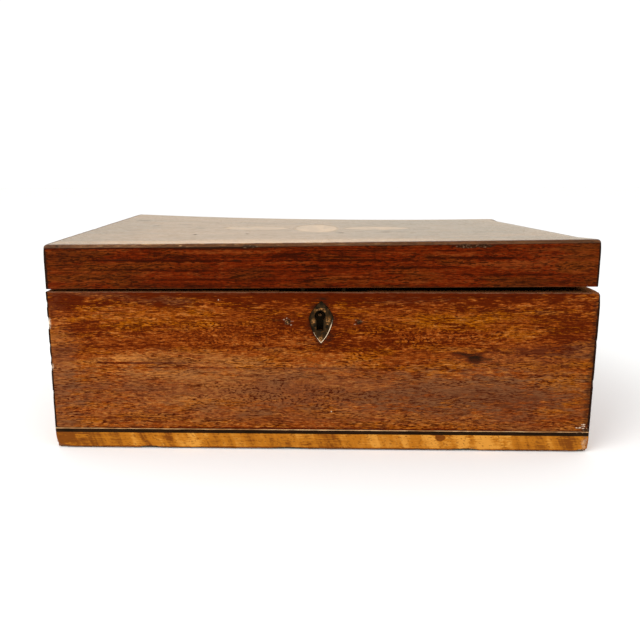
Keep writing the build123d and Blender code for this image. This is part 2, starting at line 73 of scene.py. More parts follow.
# %% Corners, faces and saddles
def corner(node, end):
    """Lowest (end 0) or highest (end 1) corner of a frame node."""
    return np.array(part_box(node)[end])


def corner_points(node, pick):
    """A node's four corners seen from above, each with the height that pick, max or min, finds there."""
    points = np.array([v.co for v in frame["nodes"][node].data.vertices])
    found = []
    for x in (points[:, 0].min(), points[:, 0].max()):
        for y in (points[:, 1].min(), points[:, 1].max()):
            near = np.abs(points[:, :2] - (x, y)).max(1) < 0.01 * MM
            found.append((x, y, pick(points[near, 2])))
    return found


def saddle(points):
    """Height a + b x + c y + d x y over x and y, through four points."""
    x, y, z = np.array(points, float).T
    a, b, c, d = np.linalg.solve(np.stack([np.ones(4), x, y, x * y], 1), z)
    return lambda x, y: a + b * x + c * y + d * x * y


def level(height):
    """A flat surface at one height."""
    return lambda x, y: height + 0.0 * x


BODY_LOW = np.array([corner("left_veneer", 0)[0], *corner("front_band", 0)[1:]])
BODY_HIGH = np.array([corner("right_veneer", 1)[0], corner("back_band", 1)[1], corner("front_board", 1)[2]])
RIM = BODY_HIGH[2]
LID_LOW = np.array([corner("lid_left_veneer", 0)[0], corner("lid_front_veneer", 0)[1]])
LID_HIGH = np.array([corner("lid_right_veneer", 1)[0], corner("lid_back_veneer", 1)[1]])
hinge = next(joint for joint in frame["joints"] if joint["name"] == "lid_hinge")
AXIS_Y, AXIS_Z = hinge["pos_m"][1:]

lid_saddle = saddle(corner_points("lid_top_veneer", max))
HOLLOW_FRONT, HOLLOW_BACK = 0.3 * MM, 2.6 * MM
ROLL_DEPTH, ROLL_WIDTH = 1.4 * MM, 9 * MM
ROLL_START, ROLL_END = 7, 14  # how steeply the low edge begins at the front and ends at the back


def lid_top(x, y):
    """Top of the lid: the saddle, hollow in the middle and more so at the back, and worn low at the right."""
    across = (2 * x - LID_LOW[0] - LID_HIGH[0]) / (LID_HIGH[0] - LID_LOW[0])
    along = np.clip((y - LID_LOW[1]) / (LID_HIGH[1] - LID_LOW[1]), 0, 1)
    hollow = HOLLOW_FRONT + (HOLLOW_BACK - HOLLOW_FRONT) * along
    rolled = ROLL_DEPTH * np.exp(-(((LID_HIGH[0] - x) / ROLL_WIDTH) ** 2))
    rolled = rolled * np.clip(ROLL_START * along, 0, 1) * np.clip(ROLL_END * (1 - along), 0, 1)
    return lid_saddle(x, y) - hollow * np.clip(1 - across**2, 0, 1) - rolled


front_feet = [p for p in corner_points("lid_front_veneer", min) if p[1] < LID_LOW[1] + 0.1 * MM]
back_foot = 2 * AXIS_Z - RIM
lid_foot = saddle(front_feet + [(p[0], LID_HIGH[1], back_foot) for p in front_feet])
print("lid top front:", lid_top(LID_LOW[0], LID_LOW[1]), lid_top(LID_HIGH[0], LID_LOW[1]))

# %% [markdown]
# ## Camera
#
# The photograph looks slightly down at the front from just left of the middle. A pinhole camera was
# worked out from twelve corners of the box. It is kept as a place, three turns and a focal length in
# pixels of a 640 pixel frame, and the picture's centre is off by a small shift. A camera set by eye
# would do for a pretty view, but not for placing a chip or a stain where the box has it.

# %% Camera
FRAME_PIXELS = 640
CAMERA_PLACE = np.array([-7.63, -563.71, 183.13]) * MM
YAW, PITCH, ROLL = (math.radians(a) for a in (-1.76, 11.6, -0.17))
FOCAL_PIXELS = 698.55
CENTRE_PIXEL = (286.96, 310.15)
SENSOR = 36.0


def camera_axes():
    """Right, up and forward of the camera: yaw about Z, then pitch down, then roll about forward."""
    forward = np.array([math.sin(YAW) * math.cos(PITCH), math.cos(YAW) * math.cos(PITCH), -math.sin(PITCH)])
    flat_right = np.array([math.cos(YAW), -math.sin(YAW), 0.0])
    flat_up = np.cross(flat_right, forward)
    right = math.cos(ROLL) * flat_right + math.sin(ROLL) * flat_up
    up = math.cos(ROLL) * flat_up - math.sin(ROLL) * flat_right
    return right, up, forward


camera_data = bpy.data.cameras.new("camera")
camera = bpy.data.objects.new("camera", camera_data)
bpy.context.scene.collection.objects.link(camera)
right, up, forward = camera_axes()
placed = np.eye(4)
placed[:3, 0], placed[:3, 1], placed[:3, 2], placed[:3, 3] = right, up, -forward, CAMERA_PLACE
camera.matrix_world = Matrix(placed.tolist())
camera_data.sensor_width = SENSOR
camera_data.lens = FOCAL_PIXELS / FRAME_PIXELS * SENSOR
camera_data.shift_x = (FRAME_PIXELS / 2 - CENTRE_PIXEL[0]) / FRAME_PIXELS
camera_data.shift_y = (CENTRE_PIXEL[1] - FRAME_PIXELS / 2) / FRAME_PIXELS
camera_data.clip_start = 0.01
bpy.context.scene.camera = camera
print("lens:", round(camera_data.lens, 2))

# %% [markdown]
# ## Grids with worn edges
#
# Every piece of the skin is the outside of a block of grid lines, close together at its ends and wider
# in the middle. Wear is then a move of those points. Rounding an arris presses the square corner onto a
# circle, and a dent pushes points inward by a smooth bowl. Sculpting by hand could do the same, but as
# formulas on whole arrays the wear can be read, measured and changed.


# %% Grid lines and the skin of a block
END_LINES = np.array([0, 0.05, 0.12, 0.25, 0.45, 0.75]) * MM
CHIP_LINES = np.arange(1.05, 3.0, 0.35) * MM
ROOM_FOR_CHIPS = 7.5 * MM  # a shorter span gets no chip lines


def lines(start, end, step, chip_lines=CHIP_LINES):
    """Grid lines from start to end: very close at each end, fine as far as chips reach, then step apart."""
    span = end - start
    half = END_LINES[END_LINES < 0.45 * span]
    if span > ROOM_FOR_CHIPS:
        half = np.concatenate([half, chip_lines])
    count = max(1, int(round((span - 2 * half[-1]) / step)))
    middle = np.linspace(half[-1], span - half[-1], count + 1)[1:-1]
    return start + np.concatenate([half, middle, (span - half)[::-1]])


def quads_of(grid):
    """Faces between neighbouring entries of a grid of point numbers."""
    return np.stack([grid[:-1, :-1], grid[1:, :-1], grid[1:, 1:], grid[:-1, 1:]], -1).reshape(-1, 4)


def block_skin(x, y, z):
    """Outside of the block of lines x, y, z: six grids that share their edges, turned outward."""
    numbers = np.arange(len(x) * len(y) * len(z)).reshape(len(x), len(y), len(z))
    faces = []
    for high, low in (
        (numbers[-1], numbers[0].T),
        (numbers[:, -1].T, numbers[:, 0]),
        (numbers[:, :, -1], numbers[:, :, 0].T),
    ):
        faces += [quads_of(high), quads_of(low)]
    used, quads = np.unique(np.concatenate(faces), return_inverse=True)
    i, j, k = np.unravel_index(used, numbers.shape)
    return np.stack([x[i], y[j], z[k]], 1), quads.reshape(-1, 4)


def eased(points, low_gap, high_gap, radius):
    """Rounds arrises. The reach of a point is how far it stands, on each axis, past the block shrunk by
    radius; where two or three reaches are above zero they are scaled to the length of the largest."""
    radius = np.reshape(radius, (-1, 1))
    reach = np.clip(radius - high_gap, 0, None) - np.clip(radius - low_gap, 0, None)
    longest = np.abs(reach).max(1, keepdims=True)
    length = np.linalg.norm(reach, axis=1, keepdims=True)
    return points + reach * (longest / np.maximum(length, 1e-12) - (length > 1e-12))


def ripple(points, size, seed=0.0):
    """Soft unevenness from -1 to 1: three sines, each bent by the one before, about size apart."""
    x, y, z = points.T / size
    a = np.sin(1.9 * x + 2.3 * y + 1.7 * z + seed)
    b = np.sin(1.1 * y - 2.6 * x + 3.1 * z + 2.1 * seed + 1.3 * a)
    c = np.sin(0.7 * x - 3.3 * y + 2.2 * z + 3.7 * seed + 1.3 * b)
    return (a + b + c) / 3


def dented(points, dents):
    """Pushes bowls into a surface. A dent has a middle, half sizes and a push, in mm; inside its
    ellipsoid a point moves by push (1 - d d) ** 0.7. Returns the points and how deep each lies, 0 to 1."""
    depth = np.zeros(len(points))
    moved = points.copy()
    for middle, half, push in dents:
        away = (points - np.array(middle) * MM) / (np.array(half) * MM)
        distance = np.linalg.norm(away, axis=1) * (1 + 0.22 * ripple(points, 1.3 * MM, middle[2]))
        bowl = np.clip(1 - distance**2, 0, None) ** 0.7
        moved += bowl[:, None] * np.array(push) * MM
        depth = np.maximum(depth, bowl)
    return moved, depth


def swell(points, middle, reach):
    """1 at a point, falling to 0 about reach away from it."""
    away = (points - np.array(middle) * MM) / (reach * MM)
    return np.exp(-np.sum(away**2, axis=1))


# %% [markdown]
# ## Wear of the body and of the lid
#
# Each field says how round every arris is at every place, and where the chips are. A bump in the shader
# could stand in for a chip on a face, but on an arris a chip breaks the outline, so it has to be shape.
# The chips that the photograph shows are listed in millimetres: middle, half sizes and push.
# Small ones are then scattered along the other arrises, always the same, from a fixed seed.

# %% Wear fields
AT = 1 / MM
SIDE, BACK, TOP = BODY_HIGH * AT
FRONT, FOOT = BODY_LOW[1:] * AT
LID_LEFT, LID_FRONT = LID_LOW * AT
LID_RIGHT, LID_BACK = LID_HIGH * AT
PITS = [(-88.8, -63.9), (-52.1, -56.0), (16.3, -50.1), (49.9, -43.9)]  # small holes in the lid's top
SCRATCHES = [(60.0, -42.5), (-154.0, 62.2), (-132.4, 11.5), (-111.1, 27.3), (-93.1, -6.9)]

BODY_DENTS = [
    ((-SIDE, FRONT, 84.6), (1.8, 1.7, 4.4), (0.7, 0.7, 0)),
    ((-SIDE, FRONT, 61.5), (1.2, 1.3, 2.4), (0.3, 0.45, 0)),
    ((-SIDE, FRONT, 55.4), (1.3, 1.3, 2.4), (0.3, 0.5, 0)),
    ((-SIDE, FRONT, 70.0), (1.0, 1.0, 1.6), (0.3, 0.3, 0)),
    ((-SIDE, FRONT, 97.6), (1.1, 1.0, 2.2), (0.5, 0.3, 0)),
    ((-SIDE, FRONT, 38.0), (0.9, 0.9, 2.4), (0.4, 0.3, 0)),
    ((169.3, FRONT, 17.4), (2.2, 0.8, 0.8), (0, 0.2, 0)),
    ((172.4, FRONT, 15.3), (1.7, 0.8, 1.4), (0, 0.3, 0)),
    ((168.5, FRONT, 13.2), (2.6, 0.8, 0.7), (0, 0.3, 0)),
    ((SIDE, FRONT, 47.0), (0.9, 0.9, 2.6), (-0.4, 0.3, 0)),
    ((SIDE, FRONT, 74.0), (0.8, 0.8, 1.7), (-0.35, 0.25, 0)),
    ((-20.4, FRONT, 86.2), (1.5, 0.9, 1.5), (0, 0.35, 0)),
    ((24.4, FRONT, 86.2), (1.4, 0.9, 1.4), (0, 0.35, 0)),
    ((7.6, FRONT, 26.7), (0.8, 0.7, 0.8), (0, 0.3, 0)),
    ((-64.1, FRONT, 100.5), (0.9, 0.7, 0.6), (0, 0.2, 0)),
    ((-112.0, FRONT, FOOT), (7.0, 1.2, 1.1), (0, 0.2, 0.5)),
    ((-20.0, FRONT, FOOT), (11.0, 1.2, 0.9), (0, 0.2, 0.4)),
    ((96.0, FRONT, FOOT), (9.0, 1.2, 1.0), (0, 0.2, 0.5)),
    ((SIDE - 1.6, FRONT, FOOT), (5.6, 2.4, 1.4), (0, 0.2, 0.6)),
]
LID_DENTS = [
    ((90.0, LID_FRONT, 134.6), (6.6, 1.3, 1.4), (0, 0.55, -0.1)),
    ((101.5, LID_FRONT, 134.8), (6.0, 1.2, 1.1), (0, 0.5, -0.1)),
    ((-44.0, LID_FRONT, 134.3), (5.6, 1.2, 1.0), (0, 0.35, -0.1)),
    ((-166.0, LID_FRONT, 134.6), (1.2, 0.9, 0.8), (0, 0.35, -0.2)),
    ((*PITS[0], 135.7), (1.5, 2.6, 1.4), (0, 0, -0.7)),
    ((*PITS[1], 135.8), (1.5, 2.6, 1.4), (0, 0, -0.7)),
    ((*PITS[2], 135.9), (3.0, 2.2, 1.4), (0, 0, -0.7)),
    ((*PITS[3], 136.0), (2.6, 2.4, 1.4), (0, 0, -0.7)),
    ((*SCRATCHES[0], 136.3), (9.0, 0.9, 1.2), (0.1, 0, -0.25)),
    ((*SCRATCHES[1], 136.4), (7.0, 2.6, 1.4), (0, 0, -0.2)),
    ((*SCRATCHES[2], 136.0), (3.4, 2.2, 1.3), (0, 0, -0.3)),
    ((*SCRATCHES[3], 136.0), (4.6, 1.8, 1.3), (0, 0, -0.25)),
    ((*SCRATCHES[4], 136.0), (4.0, 1.6, 1.3), (0, 0, -0.25)),
]


def scattered_chips(count, seed, low, high):
    """Small chips at random places along the upright and level arrises of a block, in mm."""
    rng = np.random.default_rng(seed)
    chips = []
    for _ in range(count):
        along = rng.integers(3)
        ends = rng.integers(0, 2, 3)
        middle = np.where(ends == 1, high, low)
        middle[along] = rng.uniform(low[along], high[along])
        size = rng.uniform(0.5, 1.2)
        half = np.full(3, 1.5 * size)
        half[along] = size * rng.uniform(1.5, 4.0)
        push = np.where(ends == 1, -1.0, 1.0) * size * rng.uniform(0.25, 0.55)
        push[along] = 0
        if middle[1] > low[1] + 1:
            chips.append((tuple(middle), tuple(half), tuple(push)))
    return chips


BODY_CORNERS = [
    ((-SIDE, FRONT, FOOT), 5.5, 3.6),
    ((SIDE, FRONT, FOOT), 4.0, 1.5),
    ((SIDE, FRONT, TOP), 6.0, 2.0),
    ((-SIDE, FRONT, TOP), 4.0, -0.2),
    ((SIDE, BACK, FOOT), 5.0, 2.2),
    ((-SIDE, BACK, FOOT), 5.0, 1.8),
]
LID_CORNERS = [
    ((LID_RIGHT, LID_FRONT, 139.0), 6.0, 1.3),
    ((LID_LEFT, LID_FRONT, 135.4), 5.0, 1.1),
    ((LID_RIGHT, LID_BACK, 132.6), 5.0, 1.0),
    ((LID_LEFT, LID_BACK, 137.4), 5.0, 0.8),
    ((15.0, LID_FRONT, 137.4), 42.0, 0.45),
]
ARRIS_REACH, SEAM_REACH = 0.9 * MM, 0.3 * MM  # how far rubbing and grime spread from an edge


def edge_gap(low_gap, high_gap):
    """Distance of a point from the nearest arris of the face that it lies on: its second smallest gap."""
    return np.sort(np.concatenate([low_gap, high_gap], 1), axis=1)[:, 1]


def worn(points, low_gap, high_gap, radius, corners, dents):
    """Eases arrises by a radius in mm, larger at worn corners, and dents them. Returns the points, how
    deep each lies in a dent, and its arris: 1 on an outer arris, falling off over a millimetre."""
    for middle, reach, extra in corners:
        radius = radius + extra * swell(points, middle, reach)
    moved, depth = dented(eased(points, low_gap, high_gap, radius * MM), dents)
    return moved, depth, np.exp(-np.clip(edge_gap(low_gap, high_gap), 0, None) / ARRIS_REACH)


def body_wear(points):
    """Wears points of the body. The arris radius is about 0.4 mm, uneven, and larger at the worn corners."""
    radius = 0.42 + 0.1 * ripple(points, 23 * MM, 2.0) + 0.12 * ripple(points, 4 * MM, 5.0)
    return worn(points, points - BODY_LOW, BODY_HIGH - points, radius, BODY_CORNERS, BODY_DENTS + BODY_CHIPS)


def lid_wear(points):
    """Wears points of the lid: arrises of 0.4 mm, 1.1 mm round the top, more at its corners."""
    x, y, z = points.T
    low_gap = np.stack([x - LID_LOW[0], y - LID_LOW[1], z - lid_foot(x, y)], 1)
    high_gap = np.stack([LID_HIGH[0] - x, LID_HIGH[1] - y, lid_top(x, y) - z], 1)
    near_top = np.exp(-((high_gap[:, 2] / (3 * MM)) ** 2))
    radius = 0.4 + 0.7 * near_top + 0.15 * ripple(points, 15 * MM, 1.0) + 0.1 * ripple(points, 4 * MM, 3.0)
    return worn(points, low_gap, high_gap, radius, LID_CORNERS, LID_DENTS + LID_CHIPS)


LID_FROM, LID_TO = 107.0, 136.0  # heights between which the lid's chips are scattered
BODY_CHIPS = scattered_chips(70, 11, BODY_LOW * AT, BODY_HIGH * AT)
LID_CHIPS = scattered_chips(50, 23, np.append(LID_LOW * AT, LID_FROM), np.append(LID_HIGH * AT, LID_TO))
print("chips:", len(BODY_DENTS) + len(BODY_CHIPS), "body,", len(LID_DENTS) + len(LID_CHIPS), "lid")

# %% [markdown]
# ## From points to pieces
#
# A piece gets its mesh, its material, the body that it moves with and the frame node that it stands for.
# What the wear fields found is kept with the points, as attributes that the materials read: arris, chip
# and seam. The shader could look for edges by itself, but it can't tell a rubbed arris from a chip or
# from the seam between two veneers, and the points can.


# %% Making a piece
def outward(points, faces):
    """Faces turned outward: the volume that they enclose, summed from the origin, must be above zero."""
    volume = 0.0
    for size in {len(face) for face in faces}:
        corners = points[[face for face in faces if len(face) == size]]
        volume += np.einsum("ij,ikj->", corners[:, 0], np.cross(corners[:, 1:-1], corners[:, 2:]))
    return faces if volume > 0 else [face[::-1] for face in faces]


def make_piece(name, points, faces, material, body, slot, stands_for=None, **masks):
    """A smooth-shaded mesh object at the origin, riding on a body of the frame."""
    mesh = bpy.data.meshes.new(name)
    faces = outward(points, [list(face) for face in faces])
    mesh.from_pydata(points.tolist(), [], faces)
    for label, values in masks.items():
        layer = mesh.attributes.new(label, "FLOAT", "POINT")
        layer.data.foreach_set("value", np.asarray(values, np.float32))
    mesh.shade_smooth()
    mesh.materials.append(material)
    piece = bpy.data.objects.new(name, mesh)
    bpy.context.scene.collection.objects.link(piece)
    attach(piece, body)
    if stands_for:
        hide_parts(*stands_for)
    return piece


def skin_points(x_lines, y_lines, z_step, under, over, wear, seam=0.12 * MM):
    """Worn skin of one block between two height functions. Its own arrises are eased by seam, which
    leaves a hair line where two pieces meet, and then the wear of the whole body or lid is laid over it."""
    mean_height = float(np.mean(over(x_lines, y_lines[0]) - under(x_lines, y_lines[0])))
    shares = lines(0, mean_height, z_step) / mean_height
    points, quads = block_skin(x_lines, y_lines, shares)
    x, y, share = points.T.copy()
    height = over(x, y) - under(x, y)
    points[:, 2] = under(x, y) + share * height
    low_gap = np.stack([x - x_lines[0], y - y_lines[0], share * height], 1)
    high_gap = np.stack([x_lines[-1] - x, y_lines[-1] - y, (1 - share) * height], 1)
    near_seam = np.exp(-edge_gap(low_gap, high_gap) / SEAM_REACH)
    points = eased(points, low_gap, high_gap, seam)
    points, chip, arris = wear(points)
    return points, quads, {"seam": near_seam, "chip": chip, "arris": arris}


# %% [markdown]
# ## Shader tools
#
# Materials are built from nodes. Written out, each node takes a line for every socket and link, and the
# idea gets lost among them. Wiring keeps it readable: each of its methods adds one kind of node to a
# tree, feeds its sockets and hands back the output, so that a chain of nodes reads like a formula. A
# Group is a tree of its own with named inputs, built once and placed in each material that needs it.


# %% Node helpers
def paint(red, green, blue):
    """Linear colour of three screen values from 0 to 255."""
    share = np.array([red, green, blue]) / 255
    linear = np.where(share <= 0.04045, share / 12.92, ((share + 0.055) / 1.055) ** 2.4)
    return (*linear.tolist(), 1.0)


def shades(*colours):
    """The tones of a figured wood, from screen values."""
    names = ("Deep", "Middle", "Light", "Pore", "Gold")
    return {name: paint(*colour) for name, colour in zip(names, colours)}


class Wiring:
    """Adds nodes to one tree. What a socket is given is a number, a colour or the output of a node."""

    def __init__(self, tree):
        """Keeps the tree that the nodes go into."""
        self.tree = tree

    def feed(self, made, values):
        """Sets or links a node's inputs, each by its name or number."""
        for key, value in values.items():
            if isinstance(value, bpy.types.NodeSocket):
                self.tree.links.new(value, made.inputs[key])
            else:
                made.inputs[key].default_value = value
        return made

    def place(self, kind, values, **settings):
        """Adds a node. Its settings come first, because they decide which sockets it shows."""
        made = self.tree.nodes.new("ShaderNode" + kind)
        for key, value in settings.items():
            setattr(made, key, value)
        return self.feed(made, values)

    def calc(self, operation, *values):
        """One step of arithmetic."""
        return self.place("Math", dict(enumerate(values)), operation=operation).outputs[0]

    def add(self, total, *rest):
        """Sum of all values."""
        for value in rest:
            total = self.calc("ADD", total, value)
        return total

    def less(self, a, b):
        """Difference."""
        return self.calc("SUBTRACT", a, b)

    def times(self, a, b):
        """Product."""
        return self.calc("MULTIPLY", a, b)

    def most(self, a, b):
        """The larger of two."""
        return self.calc("MAXIMUM", a, b)

    def clamp(self, value):
        """A value held between 0 and 1."""
        return self.place("Clamp", {0: value}).outputs[0]

    def vector(self, operation, a, b):
        """One step of vector arithmetic."""
        return self.place("VectorMath", {0: a, 1: b}, operation=operation).outputs[0]

    def join(self, x, y, z):
        """A vector of three numbers."""
        return self.place("CombineXYZ", {0: x, 1: y, 2: z}).outputs[0]

    def between(self, value, low, high):
        """0 at low, 1 at high, and a smooth step from one to the other."""
        ends = {"Value": value, "From Min": low, "From Max": high}
        return self.place("MapRange", ends, interpolation_type="SMOOTHSTEP").outputs["Result"]

    def spread(self, value, low, high):
        """A share from 0 to 1 spread evenly from low to high."""
        return self.place("MapRange", {"Value": value, "To Min": low, "To Max": high}).outputs["Result"]

    def tint(self, share, a, b):
        """Colour a turned towards colour b by a share."""
        return self.place("Mix", {0: share, 6: a, 7: b}, data_type="RGBA").outputs[2]

    def cloud(self, vector, size, detail=2.0, rough=0.5):
        """Noise from 0 to 1 whose lumps have the given size in millimetres on each axis."""
        scaled = self.vector("DIVIDE", vector, size)
        values = {"Vector": scaled, "Scale": 1.0, "Detail": detail, "Roughness": rough}
        return self.place("TexNoise", values).outputs["Fac"]

    def centred(self, vector, size, detail=2.0, rough=0.5):
        """Noise about 0 instead of 0.5."""
        return self.less(self.cloud(vector, size, detail, rough), 0.5)

    def islands(self, vector, size, low, high, detail=2.0, rough=0.5):
        """Noise cut into islands: 0 where it is below low, 1 where it is above high."""
        return self.between(self.cloud(vector, size, detail, rough), low, high)

    def attribute(self, name):
        """A value kept with the points of a piece; 0 on a piece that has none."""
        return self.place("Attribute", {}, attribute_name=name).outputs["Fac"]

    def grain_space(self, turned=False):
        """Object coordinates in millimetres, with the grain along the first axis; turned for the sides."""
        source = self.place("TexCoord", {}).outputs["Object"]
        turn = (0.0, 0.0, math.pi / 2 if turned else 0.0)
        return self.place("Mapping", {"Vector": source, "Rotation": turn, "Scale": (AT,) * 3}).outputs[0]

    def use(self, group, values):
        """Places a node group, feeds its inputs by name and returns its outputs."""
        made = self.tree.nodes.new("ShaderNodeGroup")
        made.node_tree = group.tree
        return self.feed(made, values).outputs


class Group(Wiring):
    """A node group. given holds its inputs: a name for each default number, vector or colour."""

    def __init__(self, name, **inputs):
        """Makes the group with a Vector input and the named ones, each of the kind of its default."""
        super().__init__(bpy.data.node_groups.new(name, "ShaderNodeTree"))
        self.name = name
        for label, value in {"Vector": (0.0, 0.0, 0.0), **inputs}.items():
            kind = "Float" if isinstance(value, float) else {3: "Vector", 4: "Color"}[len(value)]
            self.socket(label, kind, "INPUT").default_value = value
        self.given = self.tree.nodes.new("NodeGroupInput").outputs

    def socket(self, label, kind, side):
        """Makes one input or output of the group."""
        return self.tree.interface.new_socket(label, in_out=side, socket_type="NodeSocket" + kind)

    def give(self, **values):
        """Makes the group's outputs and links them: Color is a colour, and the others are numbers."""
        for label in values:
            self.socket(label, "Color" if label == "Color" else "Float", "OUTPUT")
        self.feed(self.tree.nodes.new("NodeGroupOutput"), values)
        print("group:", self.name, len(self.tree.nodes), "nodes")


def finish_material(name, build):
    """A material whose tree is filled by build(wiring), which returns the shader's inputs by name. Height
    goes through a bump of the given relief in mm; numbers and colours are set on the shader itself."""
    material = bpy.data.materials.new(name)
    material.use_nodes = True
    material.node_tree.nodes.clear()
    w = Wiring(material.node_tree)
    values = build(w)
    height, relief = values.pop("Height", None), values.pop("Relief", 0.0) * MM
    if height is not None:
        values["Normal"] = w.place("Bump", {"Height": height, "Distance": relief, "Strength": 1.0}).outputs[0]
    w.place("OutputMaterial", {"Surface": w.place("BsdfPrincipled", values).outputs[0]})
    print("finish:", name, len(material.node_tree.nodes), "nodes")
    return material


# %% [markdown]
# ## Patches, stains and edges
#
# A tone patch is a soft oval, its outline broken by noise, that lightens or darkens the wood under it.
# It serves for the large clouds in the front veneer and for single marks such as a knot, and some
# patches are painted shade or painted highlights: shade under the lid, towards the right and round the
# keyhole shield, and a pale line along the lid's front arris. Such marks could be painted on a picture,
# but a patch stays sharp from near by and can be moved by a millimetre.
# Old edges are one more shared effect: grime sits in the seams, arrises are rubbed, and chips show
# broken wood.

# %% Groups for patches and edges
patch = Group("Tone patch", Middle=(0.0, 0.0, 0.0), Half=(1.0, 1.0, 1.0), Amount=0.1, Broken=1.6)
given = patch.given
offset = patch.vector("DIVIDE", patch.vector("SUBTRACT", given["Vector"], given["Middle"]), given["Half"])
distance = patch.place("VectorMath", {0: offset}, operation="LENGTH").outputs["Value"]
lumps = patch.centred(given["Vector"], (16.0, 5.0, 5.0), 3.0)
splits = patch.centred(given["Vector"], (5.0, 0.9, 0.9))
ragged = patch.times(patch.add(lumps, patch.times(splits, 1.1)), given["Broken"])
inside = patch.between(patch.add(distance, ragged), 1.25, 0.35)
patch.give(Tone=patch.times(inside, given["Amount"]))

edge = Group("Old edges", **{
    "Color": paint(188, 188, 188), "Grime": paint(30, 14, 8), "Rubbed": paint(120, 70, 36),
    "Grime Amount": 0.8, "Rubbed Amount": 0.5, "Soot": 0.0, "Flakes": 1.0, "Bare": 0.0,
})
given = edge.given
uneven = edge.cloud(given["Vector"], (3.0, 3.0, 3.0), 3.0)
seam_share = edge.between(edge.times(edge.attribute("seam"), edge.add(uneven, 0.35)), 0.25, 0.8)
arris_share = edge.between(edge.times(edge.attribute("arris"), edge.add(uneven, 0.5)), 0.45, 1.0)
chip_share = edge.between(edge.attribute("chip"), 0.05, 0.5)
rubbed = edge.tint(edge.times(arris_share, given["Rubbed Amount"]), given["Color"], given["Rubbed"])
flakes = edge.times(edge.islands(given["Vector"], (1.6, 1.6, 0.9), 0.5, 0.72, 3.0), given["Flakes"])
broken_wood = edge.tint(flakes, paint(36, 20, 10), paint(176, 140, 104))
splinters = edge.islands(given["Vector"], (0.9, 0.9, 2.2), 0.4, 0.55)
sooty = edge.times(given["Soot"], edge.add(uneven, 0.45))
dark_share = edge.clamp(edge.most(edge.times(seam_share, given["Grime Amount"]), sooty))
grimed = edge.tint(dark_share, rubbed, given["Grime"])
chipped = edge.tint(edge.times(chip_share, 0.85), grimed, broken_wood)
bared = edge.tint(edge.clamp(edge.times(given["Bare"], splinters)), chipped, paint(214, 188, 160))
edge.give(Color=bared, Worn=edge.most(chip_share, seam_share))

# %% [markdown]
# ## Mahogany
#
# Mahogany veneer shows broad bands of tone, long streaks, and thousands of short dark pores that follow
# the grain. Where the grain rises and dips the pores are cut short and look mottled. Its hue drifts too,
# from red brown to gold, and old polish leaves a smoky veil. A Wave texture is often used for wood, but
# its rings are too even for a sliced veneer. So all of it is noise stretched along the grain, with a
# slow sway so that nothing runs dead straight.

# %% Mahogany group
mahogany_figure = Group(
    "Mahogany figure", Seed=0.0, Tone=0.0, Mottle=0.0, Streak=1.0, Thread=1.0, Pores=0.95, Cross=0.4,
    Smoke=0.0, Golden=0.0, **shades((78, 20, 0), (135, 61, 12), (176, 108, 48), (58, 8, 0), (150, 79, 0)),
    Veil=paint(112, 70, 42),
)
wood, given = mahogany_figure, mahogany_figure.given
seeded = wood.vector("ADD", given["Vector"], wood.join(given["Seed"], given["Seed"], given["Seed"]))
sway = wood.times(wood.centred(seeded, (46.0, 20.0, 20.0), 3.0), 7.0)
swayed = wood.vector("ADD", seeded, wood.join(0.0, sway, sway))
bands = wood.times(wood.centred(swayed, (80.0, 14.0, 14.0)), 0.75)
fibres = wood.times(wood.centred(swayed, (5.6, 0.56, 0.56), 2.0, 0.7), wood.times(given["Thread"], 2.2))
value = wood.add(given["Tone"], 0.56, bands, fibres)
for space, size, detail, weight in (
    (swayed, (42.0, 2.4, 2.4), 3.0, wood.times(given["Streak"], 0.8)),
    (swayed, (24.0, 0.7, 0.7), 2.0, wood.times(given["Streak"], 0.6)),
    (swayed, (1.9, 0.8, 0.8), 2.0, wood.times(given["Thread"], wood.add(given["Mottle"], 0.5))),
    (seeded, (1.3, 6.0, 6.0), 2.0, given["Cross"]),
):
    value = wood.add(value, wood.times(wood.centred(space, size, detail, 0.6), weight))

fine_pore = wood.islands(swayed, (3.8, 0.56, 0.56), 0.53, 0.6, 1.0)
long_pore = wood.most(fine_pore, wood.islands(swayed, (12.0, 0.9, 0.9), 0.56, 0.66))
short_pore = wood.islands(swayed, (2.0, 0.95, 0.95), 0.51, 0.61, 1.0)
either = wood.place("Mix", {0: given["Mottle"], 2: long_pore, 3: short_pore}, data_type="FLOAT").outputs[0]
pores = wood.times(either, wood.spread(wood.islands(swayed, (28.0, 5.0, 5.0), 0.3, 0.6), 0.5, 1.0))

drift = wood.less(wood.islands(swayed, (30.0, 5.0, 5.0), 0.38, 0.66, 3.0), 0.5)
golden = wood.clamp(wood.add(drift, wood.add(given["Golden"], 0.3)))
middle = wood.tint(golden, given["Middle"], given["Gold"])
dark_side = wood.tint(wood.between(value, -0.1, 0.55), given["Deep"], middle)
ground = wood.tint(wood.between(value, 0.5, 1.1), dark_side, given["Light"])
dull = wood.islands(swayed, (60.0, 10.0, 10.0), 0.5, 0.75)
veiled = wood.tint(wood.clamp(wood.add(wood.times(dull, 0.5), given["Smoke"])), ground, given["Veil"])
pored = wood.tint(wood.times(pores, given["Pores"]), veiled, given["Pore"])
height = wood.less(wood.times(fibres, 0.3), pores)
wood.give(Color=pored, Height=height, Roughness=wood.spread(pores, 0.38, 0.6))

# %% [markdown]
# ## One way to finish every wood
#
# A finish is a figure, then its old edges, then the shader. The woods differ in their values, so one
# function wires them all. Marks that sit at one place, such as a knot or a smear of soot, are lists of
# patches given in millimetres: x, z, half x, half z and amount on the front, and y and half y as well
# where a patch has to end in depth. A side board's grain runs front to back, so its space is turned.

# %% Wood finishes
ANYWHERE = 1000.0


